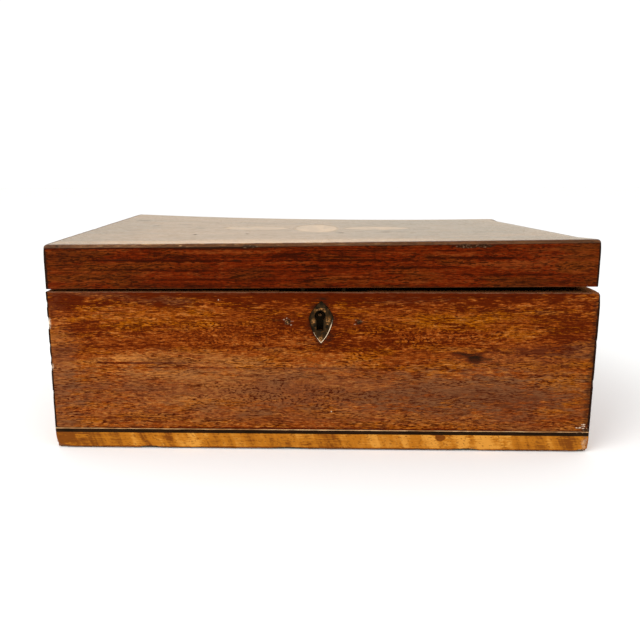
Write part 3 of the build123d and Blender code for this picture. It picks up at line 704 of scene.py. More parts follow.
def patch_sum(w, space, patches):
    """Adds up the tones of several patches. A thin one keeps a cleaner outline."""
    total = None
    for x, z, half_x, half_z, amount, *depth in patches:
        y, half_y = depth or (0.0, ANYWHERE)
        values = {"Vector": space, "Middle": (x, y, z), "Half": (half_x, half_y, half_z), "Amount": amount}
        values["Broken"] = 0.8 if min(half_x, half_z) < 3.0 else 1.6
        tone = w.use(patch, values)["Tone"]
        total = tone if total is None else w.add(total, tone)
    return total


def wood_finish(name, figure, relief, smooth, worn_rough, shader, edges, turned=False, **values):
    """A wood: its figure, old edges, and a roughness of smooth, or of worn_rough where it is worn. A list
    among the values is a list of patches, and Soot and Bare go to the edges."""

    def build(w):
        """Wires figure, edges and roughness."""
        space = w.grain_space(turned)
        fed = {key: patch_sum(w, space, v) if isinstance(v, list) else v for key, v in values.items()}
        edged = {key: fed.pop(key) for key in ("Soot", "Bare") if key in fed}
        drawn = w.use(figure, {"Vector": space, **fed})
        old = w.use(edge, {"Color": drawn["Color"], "Vector": space, **edges, **edged})
        rough = w.most(drawn.get("Roughness", smooth), w.times(old["Worn"], worn_rough))
        made = {"Base Color": old["Color"], "Roughness": rough, "Height": drawn["Height"], "Relief": relief}
        return {**made, **shader}

    return finish_material(name, build)


def gloss(level_of_shine, *tone):
    """Settings for a shine of one strength and tone."""
    return {"Specular IOR Level": level_of_shine, "Specular Tint": (*tone, 1.0)}


def mahogany(name, seed, edges=None, shader=None, **values):
    """A mahogany finish."""
    shine = {**gloss(0.1, 1.0, 0.45, 0.16), **(shader or {})}
    return wood_finish(name, mahogany_figure, 0.06, None, 0.7, shine, edges or {}, Seed=seed, **values)


# %% Front mahogany
FRONT_PATCHES = [
    (-95.7, 90, 62, 6, 0.26), (75.8, 87.5, 72, 8, 0.22), (-151, 81.3, 14, 7, -0.45),
    (-77, 69.7, 90, 2, -0.3), (-109.8, 60.5, 66, 4.5, 0.16), (-50, 55.8, 100, 0.8, -0.6),
    (-114, 58.8, 36, 1, -1.1), (-80, 88.7, 20, 0.5, -0.7), (-52, 96.2, 14, 0.5, -0.7),
    (-40, 94.4, 12, 0.5, -0.6), (-99, 96.8, 12, 0.5, -0.5), (90, 83, 13, 0.5, -0.8),
    (84, 85.4, 15, 0.5, -0.6), (121, 86, 10, 0.5, -0.6), (85, 55.3, 20, 0.6, -0.7),
    (-30, 51, 44, 0.8, -0.35), (120, 52, 60, 0.8, -0.35), (60, 29, 70, 0.7, -0.35),
    (-120, 21.5, 54, 0.7, -0.35), (-150, 97.5, 30, 0.8, -0.4), (-110.5, 43.2, 42, 8, -0.28),
    (-22.4, 41.1, 42, 8, -0.28), (-80.6, 34, 22, 9, 0.18), (158, 80, 22, 24, -0.34), (150, 68, 22, 4, -0.3),
    (26.2, 38.1, 32, 5, -0.2), (124, 36.1, 36, 9, -0.28), (88.1, 22.9, 26, 5, 0.14),
    # Painted shade: the long thin patches at heights 104.6 and 101.4 darken the front just under the lid, and
    # the one at x -162 darkens it more at the left.
    (99.4, 62.9, 6, 3.4, -0.9), (92.4, 65.6, 9, 1.2, -0.8), (0, 104.6, 210, 2.4, -0.9),
    (0, 101.4, 210, 5, -0.5), (-162, 99, 22, 8, -0.6), (-10, 88, 190, 16, -0.38), (-165, 66, 20, 7, -0.3),
    (60, 33, 56, 7, -0.12), (110, 86, 60, 9, 0.1), (-30, 80, 120, 12, -0.12), (22, 72, 32, 6, -0.36),
    (-124, 71, 28, 5, -0.2), (-122, 61.8, 20, 2.6, 0.3), (33, 50, 18, 6, -0.16), (-80, 38, 60, 7, 0.12),
    (130, 70, 34, 5, -0.16), (90, 38.6, 78, 7, -0.26), (-90, 49, 32, 6, 0.16), (-124, 60, 22, 5, 0.22),
    (-66, 82, 32, 6, 0.12), (78, 87, 34, 8, 0.1), (-50, 54, 130, 9, 0.2), (-95, 47, 50, 8, 0.22),
    # Painted shade: the two broad patches at x 150 and x 60 darken the right half of the front, where less
    # light falls.
    (110, 55, 80, 8, 0.16), (140, 44, 40, 9, 0.14), (150, 60, 90, 80, -0.14), (60, 60, 60, 80, -0.14),
    # Painted shade: the patch at x 0.8 darkens the veneer round the shield and the walls of its bed, the gap
    # round the shield.
    (0.8, 87, 9.4, 15, -0.5), (-21, 86, 3, 2.2, -0.7), (24.3, 86.2, 2.6, 1.8, -0.6),
    (0, 14.6, 210, 0.9, -0.6),
]
FRONT_SMOKE = [
    (0, 86, 170, 17, -0.5), (-80, 60, 40, 10, 0.25), (130, 62, 50, 12, 0.25), (-20, 42, 190, 16, 0.5),
    (110, 38, 74, 17, 0.4), (0, 24, 200, 8, 0.3), (-168, 50, 14, 46, 0.5),
]
FRONT_GOLDEN = [
    (-95, 90, 50, 9, 0.5), (100, 88, 60, 9, 0.5), (-50, 60, 60, 8, 0.25), (0, 76, 190, 8, -0.35),
    (0, 50, 200, 7, -0.15), (-160, 60, 20, 50, 0.2), (160, 50, 24, 40, 0.3),
]
FRONT_MOTTLE = [
    (0, 60, ANYWHERE, ANYWHERE, 0.2), (-54, 78, 60, 12, 0.8), (60, 77, 60, 8, 0.8), (-20, 38, 60, 10, 0.7),
]
# Pale rubbed arrises of the front veneer, which also stand in for a painted highlight along the rim's rounded
# arris.
RIM_WEAR_AND_HIGHLIGHT = {"Rubbed": paint(144, 106, 80), "Rubbed Amount": 0.66}
SIDE_EDGES = [
    (-174.6, 60, 0.9, ANYWHERE, 1.2), (174.6, 60, 1.2, ANYWHERE, 1.5), (173.6, 50, 3.4, 70, 0.6),
    # Painted shade: the last patch blackens the veneer round the shield and the walls of its bed, as shade in
    # the gap round the shield.
    (0.8, 86.6, 8.8, 14.4, 0.9),
]
FRONT_BARE = [
    (-173.8, 84.8, 1.1, 3.4, 1.4), (-174, 56, 0.9, 2.2, 0.6), (167.6, 16.8, 1.9, 0.4, 2.2),
    (170.9, 19, 1.2, 0.35, 1.6), (171.2, 17.8, 1.1, 0.35, 1.4), (170.8, 16.4, 0.9, 0.35, 1.4),
    (-22.9, 87.9, 0.7, 0.4, 0.4), (-20.9, 88.9, 0.7, 0.5, 0.6), (-17.6, 86.9, 1.3, 0.4, 0.35),
    (-18.4, 84.4, 0.6, 0.4, 0.5), (26.6, 87.4, 1, 0.3, 0.5), (22.2, 85, 0.8, 0.4, 0.5),
    (22.6, 87.8, 0.6, 0.3, 0.5), (7.6, 26.7, 0.7, 0.6, 1.5), (-64.1, 100.5, 0.8, 0.5, 1.2),
]
KNOT = [
    (99.4, 63, 4.6, 3.2, 0.75), (100.4, 64.4, 5.4, 1.6, 0.5), (106.4, 62.4, 5, 0.8, 0.8),
    (88.6, 66.6, 4.4, 0.6, 0.7), (95, 65.6, 6, 0.8, 0.8), (93.2, 63.7, 4.4, 1.8, 0.35),
    (113, 59.6, 2.6, 0.9, 0.6),
]
PIN_SOOT = [
    (-27.6, 87.4, 4, 0.8, 0.6), (-20.6, 86.6, 2.8, 2.6, 0.55), (24.4, 86.8, 2.6, 2, 0.6),
    (29, 86.4, 2.6, 0.7, 0.4),
]
front_mahogany = mahogany(
    "front mahogany", 3.0, edges=RIM_WEAR_AND_HIGHLIGHT, Tone=FRONT_PATCHES, Mottle=FRONT_MOTTLE, Smoke=FRONT_SMOKE,
    Golden=FRONT_GOLDEN, Soot=SIDE_EDGES + KNOT + PIN_SOOT, Bare=FRONT_BARE, Thread=1.2, Pores=1.0,
)

# %% Back and side mahogany
FRONT_END = [(-FRONT, 60, 2.4, ANYWHERE, 1.6)]  # the turned grain puts depth on the first axis
SIDE_BARE = [(-FRONT, 84.8, 2.4, 3.2, 1.4, -SIDE, 3), (-FRONT, 56, 2, 2, 0.6, -SIDE, 3)]
back_mahogany = mahogany("back mahogany", 411.0, Mottle=0.3)
side_mahogany = mahogany("side mahogany", 157.0, turned=True, Soot=FRONT_END, Bare=SIDE_BARE, Mottle=0.25)

# %% Lid mahogany
LID_WOOD = {
    **shades((48, 4, 0), (92, 22, 0), (114, 49, 14), (24, 0, 0), (92, 38, 4)), "Veil": paint(66, 22, 4),
    "Cross": 0.35, "Streak": 1.85, "Thread": 0.8,
}
LID_PATCHES = [
    (-60, 131, 34, 1.6, 0.5), (-100, 125.4, 80, 0.9, -0.8), (20, 125.8, 60, 0.9, -0.7),
    (96, 127.6, 40, 0.9, -0.6), (-100, 133, 80, 0.6, -0.8), (-118, 127.6, 66, 2.4, -0.3),
    (-128, 119.6, 50, 0.8, -0.5), (24, 121.6, 74, 1.4, -0.5), (-66, 113.4, 96, 1, -0.4),
    (130, 117, 50, 0.8, -0.5), (-40, 119, 90, 0.6, -0.4), (40, 131.8, 60, 0.6, -0.5),
    (60, 114, 90, 0.6, -0.4), (95, 127, 40, 1.4, -0.4), (112, 123.5, 36, 4, 0.35),
    (-4, 128, 60, 2.4, -0.25), (150, 120, 30, 8, 0.15), (0, 109, 200, 2, -0.3), (99, 133, 18, 2.6, -0.22),
    (-24, 128, 28, 3, -0.22), (32, 118, 20, 3, -0.18),
]
LID_EDGES = [
    (-174.4, 120, 1.5, ANYWHERE, 1.5), (172.6, 120, 1.1, ANYWHERE, 1.6), (-74, 134, 50, 0.9, 1.5),
    (-128, 126, 10, 0.7, 0.5), (-50, 125.6, 12, 0.5, 0.5),
]
LID_GOLDEN = [
    (-145, 119, 44, 9, 0.55), (168, 122, 24, 30, 0.5), (-150, 131, 30, 4, 0.3), (20, 132, 50, 5, -0.6),
    (-30, 122, 90, 6, -0.3), (110, 128, 34, 6, -0.6), (50, 123, 30, 6, -0.4), (-60, 114, 60, 4, -0.15),
]
FEW_FLAKES = {"Flakes": 0.35}
lid_front_mahogany = mahogany(
    "lid front mahogany", 71.0, edges=FEW_FLAKES, Tone=LID_PATCHES, Golden=LID_GOLDEN, Soot=LID_EDGES,
    Mottle=0.1, Pores=0.85, **LID_WOOD,
)
lid_back_mahogany = mahogany("lid back mahogany", 733.0, Mottle=0.3, Pores=0.7, **LID_WOOD)
lid_side_mahogany = mahogany(
    "lid side mahogany", 219.0, turned=True, Soot=FRONT_END, Mottle=0.3, Pores=0.7, **LID_WOOD
)

# %% [markdown]
# The lid's top is seen at a low angle, where old polish turns pale. Paler wood would look the same from
# here and wrong from above. A little sheen and a warm gloss turn pale by themselves where they are seen
# edge on, so the wood keeps its brown.


# %% Mahogany of the lid's top and edging
def on_top(*patches):
    """Patches on the lid's top from x, y, half x, half y and amount."""
    height = 136
    return [(x, height, half_x, ANYWHERE, amount, y, half_y) for x, y, half_x, half_y, amount in patches]


TOP_WOOD = {
    **shades((62, 32, 12), (118, 74, 36), (168, 118, 72), (54, 30, 12), (120, 78, 36)),
    "Veil": paint(102, 68, 42), "Thread": 0.35, "Cross": 0.0, "Mottle": 0.1, "Pores": 0.35, "Streak": 1.1,
}
TOP_SHINE = {
    **gloss(0.5, 1.0, 0.945, 0.82), "Sheen Weight": 0.38, "Sheen Roughness": 0.5,
    "Sheen Tint": (1.0, 0.905, 0.68, 1.0),
}
TOP_PITS = on_top(
    (*PITS[0], 1.6, 2.8, 2), (*PITS[1], 1.6, 2.8, 2), (*PITS[2], 3.4, 2.6, 1.8), (*PITS[3], 3, 2.8, 1.9)
)
TOP_PATCHES = on_top(
    (*PITS[0], 1.9, 2.2, -1.6), (*PITS[1], 1.9, 2.2, -1.6), (*PITS[2], 2.6, 2.2, -1.4),
    (*PITS[3], 2.4, 2.4, -1.6), (*SCRATCHES[0], 9, 1.6, -0.9), (*SCRATCHES[1], 8, 4, -0.8),
    (*SCRATCHES[2], 5, 3.5, -0.9), (*SCRATCHES[3], 6, 3.5, -0.9), (*SCRATCHES[4], 5, 3, -0.9),
    (-40, -118, 150, 12, 0.7), (-60, 60, 120, 14, -0.18), (100, 95, 90, 20, -0.2), (99, 0, 9, 110, 0.06),
    # Painted shade: the last patch, at x 95, darkens the right half of the top, where less light falls.
    (-165, -40, 40, 120, -0.3), (130, -110, 60, 16, -0.2), (95, 10, 110, 150, -0.4),
)
# Painted highlight with wear: pale bare flecks along the top's front arris at the left also stand in for the
# light on that arris.
TOP_BARE_AND_HIGHLIGHT = on_top((-60, -124.5, 96, 4, 0.4))
lid_top_mahogany = mahogany(
    "lid top mahogany", 53.0, edges={"Flakes": 0.1}, shader=TOP_SHINE, Tone=TOP_PATCHES, Soot=TOP_PITS,
    Bare=TOP_BARE_AND_HIGHLIGHT, **TOP_WOOD,
)
EDGING_WOOD = {
    **shades((50, 22, 6), (84, 46, 18), (184, 142, 96), (40, 18, 6), (84, 46, 18)),
    "Streak": 0.5, "Cross": 0.0, "Thread": 0.35, "Pores": 0.5,
    "edges": FEW_FLAKES, "shader": gloss(0.3, 1.0, 0.8, 0.58),
}
# Painted highlight: the first patch lightens the left half of the front edging, the light along its arris.
EDGING_PATCHES = on_top((-80, -127.2, 100, 1.8, 1.1), (140, -130, 70, 3, -0.3), (-166, -129, 12, 3, -0.7))
BACK_SOOT = on_top((0, 130, ANYWHERE, 1.4, 1))
END_SOOT = on_top((0, -174.9, ANYWHERE, 0.9, 1.2), (0, 172.9, ANYWHERE, 0.9, 1.2))
edging_mahogany = mahogany("edging mahogany", 91.0, Tone=EDGING_PATCHES, Soot=BACK_SOOT, **EDGING_WOOD)
side_edging_mahogany = mahogany("side edging mahogany", 95.0, turned=True, Soot=END_SOOT, **EDGING_WOOD)

# %% Bare mahogany of the carcass
BARE_WOOD = {
    **shades((84, 46, 24), (124, 76, 42), (160, 106, 66), (66, 34, 18), (126, 80, 42)),
    "Streak": 0.7, "Pores": 0.6, "shader": {"Specular IOR Level": 0.0},
}
# Painted shade: the front board is darkened where it shows through the keyhole, as shade inside the hole.
KEYHOLE_SHADE = [(0.8, 86, 8, 12, -3.0)]
bare_mahogany = mahogany("carcass mahogany", 307.0, **BARE_WOOD)
keyhole_mahogany = mahogany("keyhole board mahogany", 307.0, Tone=KEYHOLE_SHADE, **BARE_WOOD)
bare_side_mahogany = mahogany("carcass side mahogany", 331.0, turned=True, **BARE_WOOD)

# %% [markdown]
# ## Satinwood, ebony and boxwood
#
# Satinwood has ripple figure: soft bars of light and shade that lie across the grain, over a fine gold
# ground. Noise squeezed along the grain and drawn out across it gives bars of uneven width, which the
# even bars of a Wave texture would not. Ebony is nearly black, and boxwood an even cream that has
# darkened along its edges. The strings are so narrow that two close tones in short lengths are enough.

# %% Satinwood and string groups
ripple_figure = Group(
    "Ripple figure", Seed=0.0, Tone=0.0, Ripple=1.0, **shades((116, 60, 12), (172, 104, 24), (206, 140, 54))
)
wood, given = ripple_figure, ripple_figure.given
x, y, z = wood.place("SeparateXYZ", {0: given["Vector"]}).outputs
leaned = wood.join(wood.add(wood.calc("MULTIPLY_ADD", z, 0.4, x), given["Seed"]), y, z)
bars = wood.times(wood.centred(leaned, (9.5, 44.0, 44.0), 3.0, 0.65), 1.75)
wide_bars = wood.centred(leaned, (34.0, 60.0, 60.0), 1.0)
threads = wood.centred(leaned, (16.0, 0.7, 0.7))
specks = wood.islands(leaned, (1.7, 0.8, 0.8), 0.585, 0.67)
rippled = wood.times(wood.add(bars, wide_bars), given["Ripple"])
value = wood.add(rippled, wood.times(threads, 0.5), given["Tone"], 0.55)
dark_side = wood.tint(wood.between(value, 0.1, 0.5), given["Deep"], given["Middle"])
ground = wood.tint(wood.between(value, 0.5, 0.95), dark_side, given["Light"])
specked = wood.tint(wood.times(specks, 0.6), ground, paint(92, 46, 14))
wood.give(Color=specked, Height=wood.less(threads, specks))

string_figure = Group("String figure", Size=(9.0, 4.0, 4.0), Dark=paint(8, 4, 1), Light=paint(34, 18, 8))
wood, given = string_figure, string_figure.given
share = wood.islands(given["Vector"], given["Size"], 0.3, 0.7, 3.0)
wood.give(Color=wood.tint(share, given["Dark"], given["Light"]), Height=share)


# %% Satinwood, ebony and boxwood
def satinwood(name, seed, grime=0.8, shader=None, **values):
    """A satinwood finish."""
    edges = {"Rubbed": paint(150, 96, 46), "Grime Amount": grime}
    shine = {**gloss(0.14, 1.0, 0.6, 0.25), **(shader or {})}
    return wood_finish(name, ripple_figure, 0.03, 0.4, 0.7, shine, edges, Seed=seed, **values)


def string_wood(name, dark, light, size, grime, shader=None, **marks):
    """Plain wood of a string: two close tones in short lengths."""
    edges = {"Grime Amount": grime, "Rubbed Amount": 0.2}
    shine = shader or gloss(0.1, 1.0, 0.6, 0.3)
    values = {"Dark": paint(*dark), "Light": paint(*light), "Size": size}
    return wood_finish(name, string_figure, 0.02, 0.42, 0.6, shine, edges, **values, **marks)


BAND_PATCHES = [
    (78.9, 9.4, 3.2, 2.2, -2.4), (75.5, 11.5, 4, 1.2, -1.2), (-140, 5, 60, 14, -0.38),
    (-112, 5, 10, 14, 0.12), (60, 5, 9, 14, -0.2), (-127, 5, 10, 14, 0.3), (-84, 5, 12, 14, 0.5),
    (3, 5, 15, 14, -0.36), (54, 5, 26, 14, 0.16), (90, 5, 9, 14, 0.6), (130, 5, 18, 14, 0.2),
    (162, 5, 9, 14, -0.08), (86, 5, 8, 14, -0.3), (110, 5, 13, 14, 0.62), (140, 5, 50, 12, -0.22),
    (0, 1, 210, 0.9, -0.8),
]
BAND_BARE = [(172.6, 6, 2, 4.6, 0.36), (171.6, 0.9, 3.6, 1.2, 0.8)]
EBONY_BARE = [(170.6, 14, 1.4, 0.6, 1.2), (167, 14.2, 1.2, 0.4, 0.8)]
STRING_FOOT = [(0, corner("boxwood_strings", 0)[2] * AT, ANYWHERE, 0.5, 1.6)]
front_satinwood = satinwood("front satinwood", 12.0, Tone=BAND_PATCHES, Bare=BAND_BARE)
back_satinwood = satinwood("back satinwood", 260.0)
side_satinwood = satinwood("side satinwood", 510.0, turned=True)
top_satinwood = satinwood(
    "inlay satinwood", 90.0, grime=0.3, shader=TOP_SHINE,
    **shades((104, 64, 28), (140, 96, 50), (166, 122, 74)),
)
ebony_wood = string_wood("ebony", (8, 4, 1), (34, 18, 8), (9, 0.7, 0.7), 0.3, Bare=EBONY_BARE)
boxwood_wood = string_wood("boxwood", (156, 108, 62), (232, 188, 136), (14, 4, 4), 0.7, Soot=STRING_FOOT)
inlay_boxwood = string_wood("inlay boxwood", (124, 82, 44), (160, 116, 70), (9, 4, 4), 0.2, TOP_SHINE)

# %% [markdown]
# ## Brass, iron and baize
#
# Old brass is dark where no hand reaches and bright where it is rubbed. Full Metallic all over would
# make it a mirror, so the patina is a plain dark skin, and only bare places and rubbed arrises turn
# metallic. The lock inside is iron, dull and brown. Baize is wool with a raised nap. Its hairs could be
# real ones, but at this size sheen and a soft bump do as well, with no shine.


# %% Metal group
metal = Group(
    "Old metal", Patina=paint(16, 10, 4), Metal=paint(52, 38, 18), Bright=paint(120, 96, 60), Shine=0.2,
    Soot=0.0, Light=0.0,
)
given = metal.given
bare = metal.islands(given["Vector"], (2.2, 2.2, 2.2), 0.48, 0.8, 4.0, 0.6)
ragged = metal.add(metal.times(metal.cloud(given["Vector"], (1.1, 1.1, 1.1)), 1.5), 0.2)
rubbed = metal.between(metal.times(metal.attribute("arris"), ragged), 0.4, 0.8)
flecks = metal.islands(given["Vector"], (0.9, 0.9, 0.9), 0.4, 0.6)
colour = metal.tint(rubbed, metal.tint(bare, given["Patina"], given["Metal"]), given["Bright"])
colour = metal.tint(metal.times(metal.clamp(given["Light"]), flecks), colour, paint(150, 104, 58))
colour = metal.tint(metal.clamp(given["Soot"]), colour, paint(12, 8, 4))
# On the shield the seam mask is painted shade, near black, in the hole and round the plate's edge; the
# frame's own metal parts have no such mask.
colour = metal.tint(metal.attribute("seam"), colour, paint(8, 5, 3))
metal.give(
    Color=colour,
    Metallic=metal.most(metal.times(bare, 0.8), rubbed),
    Roughness=metal.less(0.55, metal.times(rubbed, given["Shine"])),
    Height=metal.cloud(given["Vector"], (0.5, 0.5, 0.5)),
)


# %% Metals and baize
def old_metal(name, *tones, shine=0.2, **marks):
    """Patina over metal, in clouds a few mm wide, with the metal bare and bright on the worn arrises."""

    def build(w):
        """Wires the metal group with its tones and marks."""
        space = w.grain_space()
        colours = {key: paint(*tone) for key, tone in zip(("Patina", "Metal", "Bright"), tones)}
        placed = {key: patch_sum(w, space, patches) for key, patches in marks.items()}
        aged = w.use(metal, {"Vector": space, "Shine": shine, **colours, **placed})
        fed = {key: aged[key] for key in ("Metallic", "Roughness", "Height")}
        return {"Base Color": aged["Color"], **fed, "Relief": 0.03, **gloss(0.12, 1.0, 0.7, 0.4)}

    return finish_material(name, build)


def baize(w):
    """Napped wool: fine tufts in colour and height, worn pale in places, with sheen."""
    space = w.grain_space()
    tufts = w.cloud(space, (0.7, 0.7, 0.7), 3.0, 0.7)
    tufted = w.tint(w.between(tufts, 0.3, 0.7), paint(22, 46, 30), paint(58, 92, 62))
    bald = w.times(w.islands(space, (34.0, 34.0, 34.0), 0.4, 0.75, 3.0), 0.35)
    return {
        "Base Color": w.tint(bald, tufted, paint(96, 98, 70)), "Height": tufts, "Relief": 0.25,
        "Roughness": 0.95, "Sheen Weight": 0.5, "Sheen Roughness": 0.6, "Specular IOR Level": 0.15,
    }


SHIELD_SOOT = [
    (3.4, 98.2, 1.3, 1.8, 0.9), (-2.6, 97.8, 1, 1.4, 0.7), (7, 94.6, 1.2, 1.8, 0.8),
    (0.9, 81.4, 2.4, 0.9, 0.7), (0.8, 98.6, 1.6, 2, 1), (-1.8, 95.4, 1.8, 1.2, 1), (4, 95.4, 1.6, 1.5, 1),
    (6, 92.4, 1.3, 2, 0.9), (-4.6, 92.4, 1.3, 1.6, 0.7), (-6.2, 88.5, 1.1, 4.4, 0.8),
    (7.8, 89.4, 0.9, 4.6, 0.9), (-2.9, 84.2, 1.2, 1.4, 1), (4.4, 83.4, 1.3, 1.4, 1),
    (-4, 81.6, 1.3, 2.4, 0.8), (1, 79.2, 3.4, 2.2, 0.55), (2.9, 90.8, 0.9, 0.9, 0.8),
    (-5.6, 81.6, 1.6, 2.6, 1), (-2.2, 76.4, 0.9, 0.9, 0.7),
]
# Bright flecks of bare brass; the strong one at x 4.9, z 84.8 is a painted glint.
SHIELD_FLECKS_AND_GLINT = [
    (0.6, 94.9, 3.6, 0.6, 1.1), (-1.4, 94, 2.6, 0.7, 1), (2.6, 93.4, 1.3, 0.8, 0.9),
    (-4.3, 86.8, 1.5, 1.8, 1), (5.2, 87.4, 1.5, 1.8, 1), (4.9, 84.8, 0.8, 0.8, 1.6),
    (0.4, 75.2, 1.6, 1.8, 1.2),
]
PIN_LIGHT = [(-20.7, 86.4, 0.7, 0.7, 2.0), (24, 86.7, 0.6, 0.6, 1.6), (0, 90.7, 0.9, 0.9, 1.0)]
# Painted shade: this brass, near black, goes on the lock plate and cap and on the link plate and staples, so
# that they stay dark in the keyhole and in the gap under the lid.
gap_shade_brass = old_metal("dark brass", (16, 10, 4), (52, 38, 18), (120, 96, 60))
shield_brass = old_metal(
    "shield brass", (40, 26, 11), (112, 70, 28), (236, 208, 174), shine=0.25, Soot=SHIELD_SOOT,
    Light=SHIELD_FLECKS_AND_GLINT,
)
hinge_brass = old_metal("hinge brass", (74, 54, 26), (150, 116, 62), (200, 170, 120), shine=0.25)
iron = old_metal("old iron", (44, 36, 30), (98, 92, 82), (160, 152, 142))
pin_iron = old_metal("pin ends", (26, 14, 8), (64, 46, 34), (150, 128, 108), Light=PIN_LIGHT)
green_baize = finish_material("green baize", baize)

# %% [markdown]
# ## Body veneers
#
# The side veneers run the full depth, so their edges show at the front corners, and the front and back
# veneers lie between them. Behind, the rims of body and lid are bevelled to let the lid swing past
# upright, and each hinge barrel lies in a round groove. Both could be cut out of finished pieces. As a
# height that each piece is built up to, they cost no cut, and the wear follows them.

# %% Heights of the back rim
STOP_ANGLE = math.radians(50.0)
BARREL_ROOM = 2.2 * MM
HINGES = [[corner(side + "_hinge_pin", end)[0] for end in (0, 1)] for side in ("left", "right")]
NUDGE = np.array([-0.02, 0.02]) * MM  # a step in height falls between two lines that lie this close
HINGE_LINES = np.add.outer(HINGES, NUDGE).ravel()


def clear_of_axis(x, y, notched):
    """How far wood stands off the level of the hinge axis behind it: along the bevel, which rises
    from the axis at the stop angle, or round the barrel, whichever is further."""
    clear = np.clip(y - AXIS_Y, 0, None) * math.tan(STOP_ANGLE)
    if notched:
        barrel = np.sqrt(np.clip(BARREL_ROOM**2 - (y - AXIS_Y) ** 2, 0, None))
        for start, end in HINGES:
            clear = np.where((x > start) & (x < end), np.maximum(clear, barrel), clear)
    return clear


def body_rim(notched):
    """Top of the body's skin: the rim, lower behind the axis."""
    return lambda x, y: np.where(y < AXIS_Y, RIM, np.minimum(RIM, AXIS_Z - clear_of_axis(x, y, notched)))


def lid_rim(notched):
    """Foot of the lid's skin: the warped under side, higher behind the axis."""

    def height(x, y):
        """The foot, or what stands clear of the axis where that is higher."""
        foot = lid_foot(x, y)
        return np.where(y < AXIS_Y, foot, np.maximum(foot, AXIS_Z + clear_of_axis(x, y, notched)))

    return height


# %% Pieces round the four sides
LONG_STEP, COURSE_STEP, THIN_STEP = 2.4 * MM, 1.6 * MM, 0.4 * MM


def with_lines(base, extra):
    """Grid lines with some more put in, none nearer than a tenth of a millimetre to an old one."""
    kept = [line for line in base if np.abs(line - extra).min() > 0.1 * MM]
    return np.sort(np.concatenate([kept, extra]))


def skin_piece(node, x_lines, y_lines, z_step, ends, material, body, slot="mahogany_veneer", name=None):
    """One piece of the skin between two height functions, worn as its body is, in place of a node."""
    wear = lid_wear if body == "lid" else body_wear
    points, quads, masks = skin_points(x_lines, y_lines, z_step, *ends, wear)
    return make_piece(name or node + "_worn", points, quads, material, body, slot, [node], **masks)


def four_sides(x_lines, y_lines, thin):
    """Grid lines of four lengths round a rectangle: x_lines at front and back, y_lines at the sides."""
    grids = {side: (x_lines, thin[side]) for side in ("front", "back")}
    return grids | {side: (thin[side], y_lines) for side in ("left", "right")}


def on_sides(front, back, side):
    """One material for each of the four sides."""
    return {"front": front, "back": back, "left": side, "right": side}


def upright_veneers(prefix, z_step, ends, materials, body):
    """The four veneers of the body or the lid. Returns the lines through their thickness, and the pieces."""
    thin = {}
    for side, axis in {"front": 1, "back": 1, "left": 0, "right": 0}.items():
        faces = (corner(f"{prefix}{side}_veneer", end)[axis] for end in (0, 1))
        thin[side] = lines(*faces, THIN_STEP)
    across = lines(thin["left"][-1], thin["right"][0], LONG_STEP)
    along = with_lines(lines(thin["front"][0], thin["back"][-1], LONG_STEP), np.array([AXIS_Y]))
    grids = four_sides(across, along, thin)
    grids["back"] = (with_lines(across, HINGE_LINES), thin["back"])
    made = {}
    for side, (x_lines, y_lines) in grids.items():
        node, material = f"{prefix}{side}_veneer", materials[side]
        made[side] = skin_piece(node, x_lines, y_lines, z_step, ends(side == "back"), material, body)
    print("faces of the veneers of the", body, [len(piece.data.polygons) for piece in made.values()])
    return thin, made


boxwood_top = level(corner("front_veneer", 0)[2])
thin, body_veneers = upright_veneers(
    "", 1.3 * MM, lambda notched: (boxwood_top, body_rim(notched)),
    on_sides(front_mahogany, back_mahogany, side_mahogany), "body",
)

# %% [markdown]
# ## Band and strings
#
# The band and the two strings run round the foot in four lengths each. The front and back lengths run
# right across, and the side lengths fit between them. They could be stripes in the veneer's colour, but
# a real length of wood has its own grain, ends in a seam, and catches grime beside its neighbour.

# %% Band and strings
full = lines(BODY_LOW[0], BODY_HIGH[0], COURSE_STEP)
inner = lines(thin["front"][-1], thin["back"][0], COURSE_STEP)
course = four_sides(full, inner, thin)
band_woods = on_sides(front_satinwood, back_satinwood, side_satinwood)
band_ends = [level(corner("front_band", end)[2]) for end in (0, 1)]
for side, (x_lines, y_lines) in course.items():
    skin_piece(side + "_band", x_lines, y_lines, 0.8 * MM, band_ends, band_woods[side], "body", "satinwood")
for wood, material in (("ebony", ebony_wood), ("boxwood", boxwood_wood)):
    node = wood + "_strings"
    string_ends = [level(corner(node, end)[2]) for end in (0, 1)]
    for side, (x_lines, y_lines) in course.items():
        name = f"{side}_{wood}_string"
        skin_piece(node, x_lines, y_lines, THIN_STEP, string_ends, material, "body", wood, name)
print("lengths round the foot:", 3 * len(course))

# %% [markdown]
# ## Escutcheon
#
# The brass shield is let in flush round the keyhole. Its outline is four shallow arcs and its hole a
# circle over a slot. A flat plate with a hole cut in it would have no lines along its rim to raise or
# wear. So both outlines are turned into radius over angle about one middle, and the plate is a closed
# profile carried round that angle: up the wall of the hole, across the face, over a thin raised rim and
# down the outer edge. The inlays in the lid are made by the same function. The bed for the shield in
# the front veneer is a plain straight hole, so there a Boolean is the short way.


# %% Plates carried round an angle
def arc(start, through, end, count=60):
    """Points on the circle through three points of a plane: its centre is equally far from all three."""
    start, through, end = (np.array(p, float) for p in (start, through, end))
    rows = 2 * np.array([through - start, end - start])
    centre = np.linalg.solve(rows, [through @ through - start @ start, end @ end - start @ start])
    angles = np.unwrap([math.atan2(*(p - centre)[::-1]) for p in (start, through, end)])
    turn = np.linspace(angles[0], angles[2], count)
    return centre + np.linalg.norm(start - centre) * np.stack([np.cos(turn), np.sin(turn)], 1)


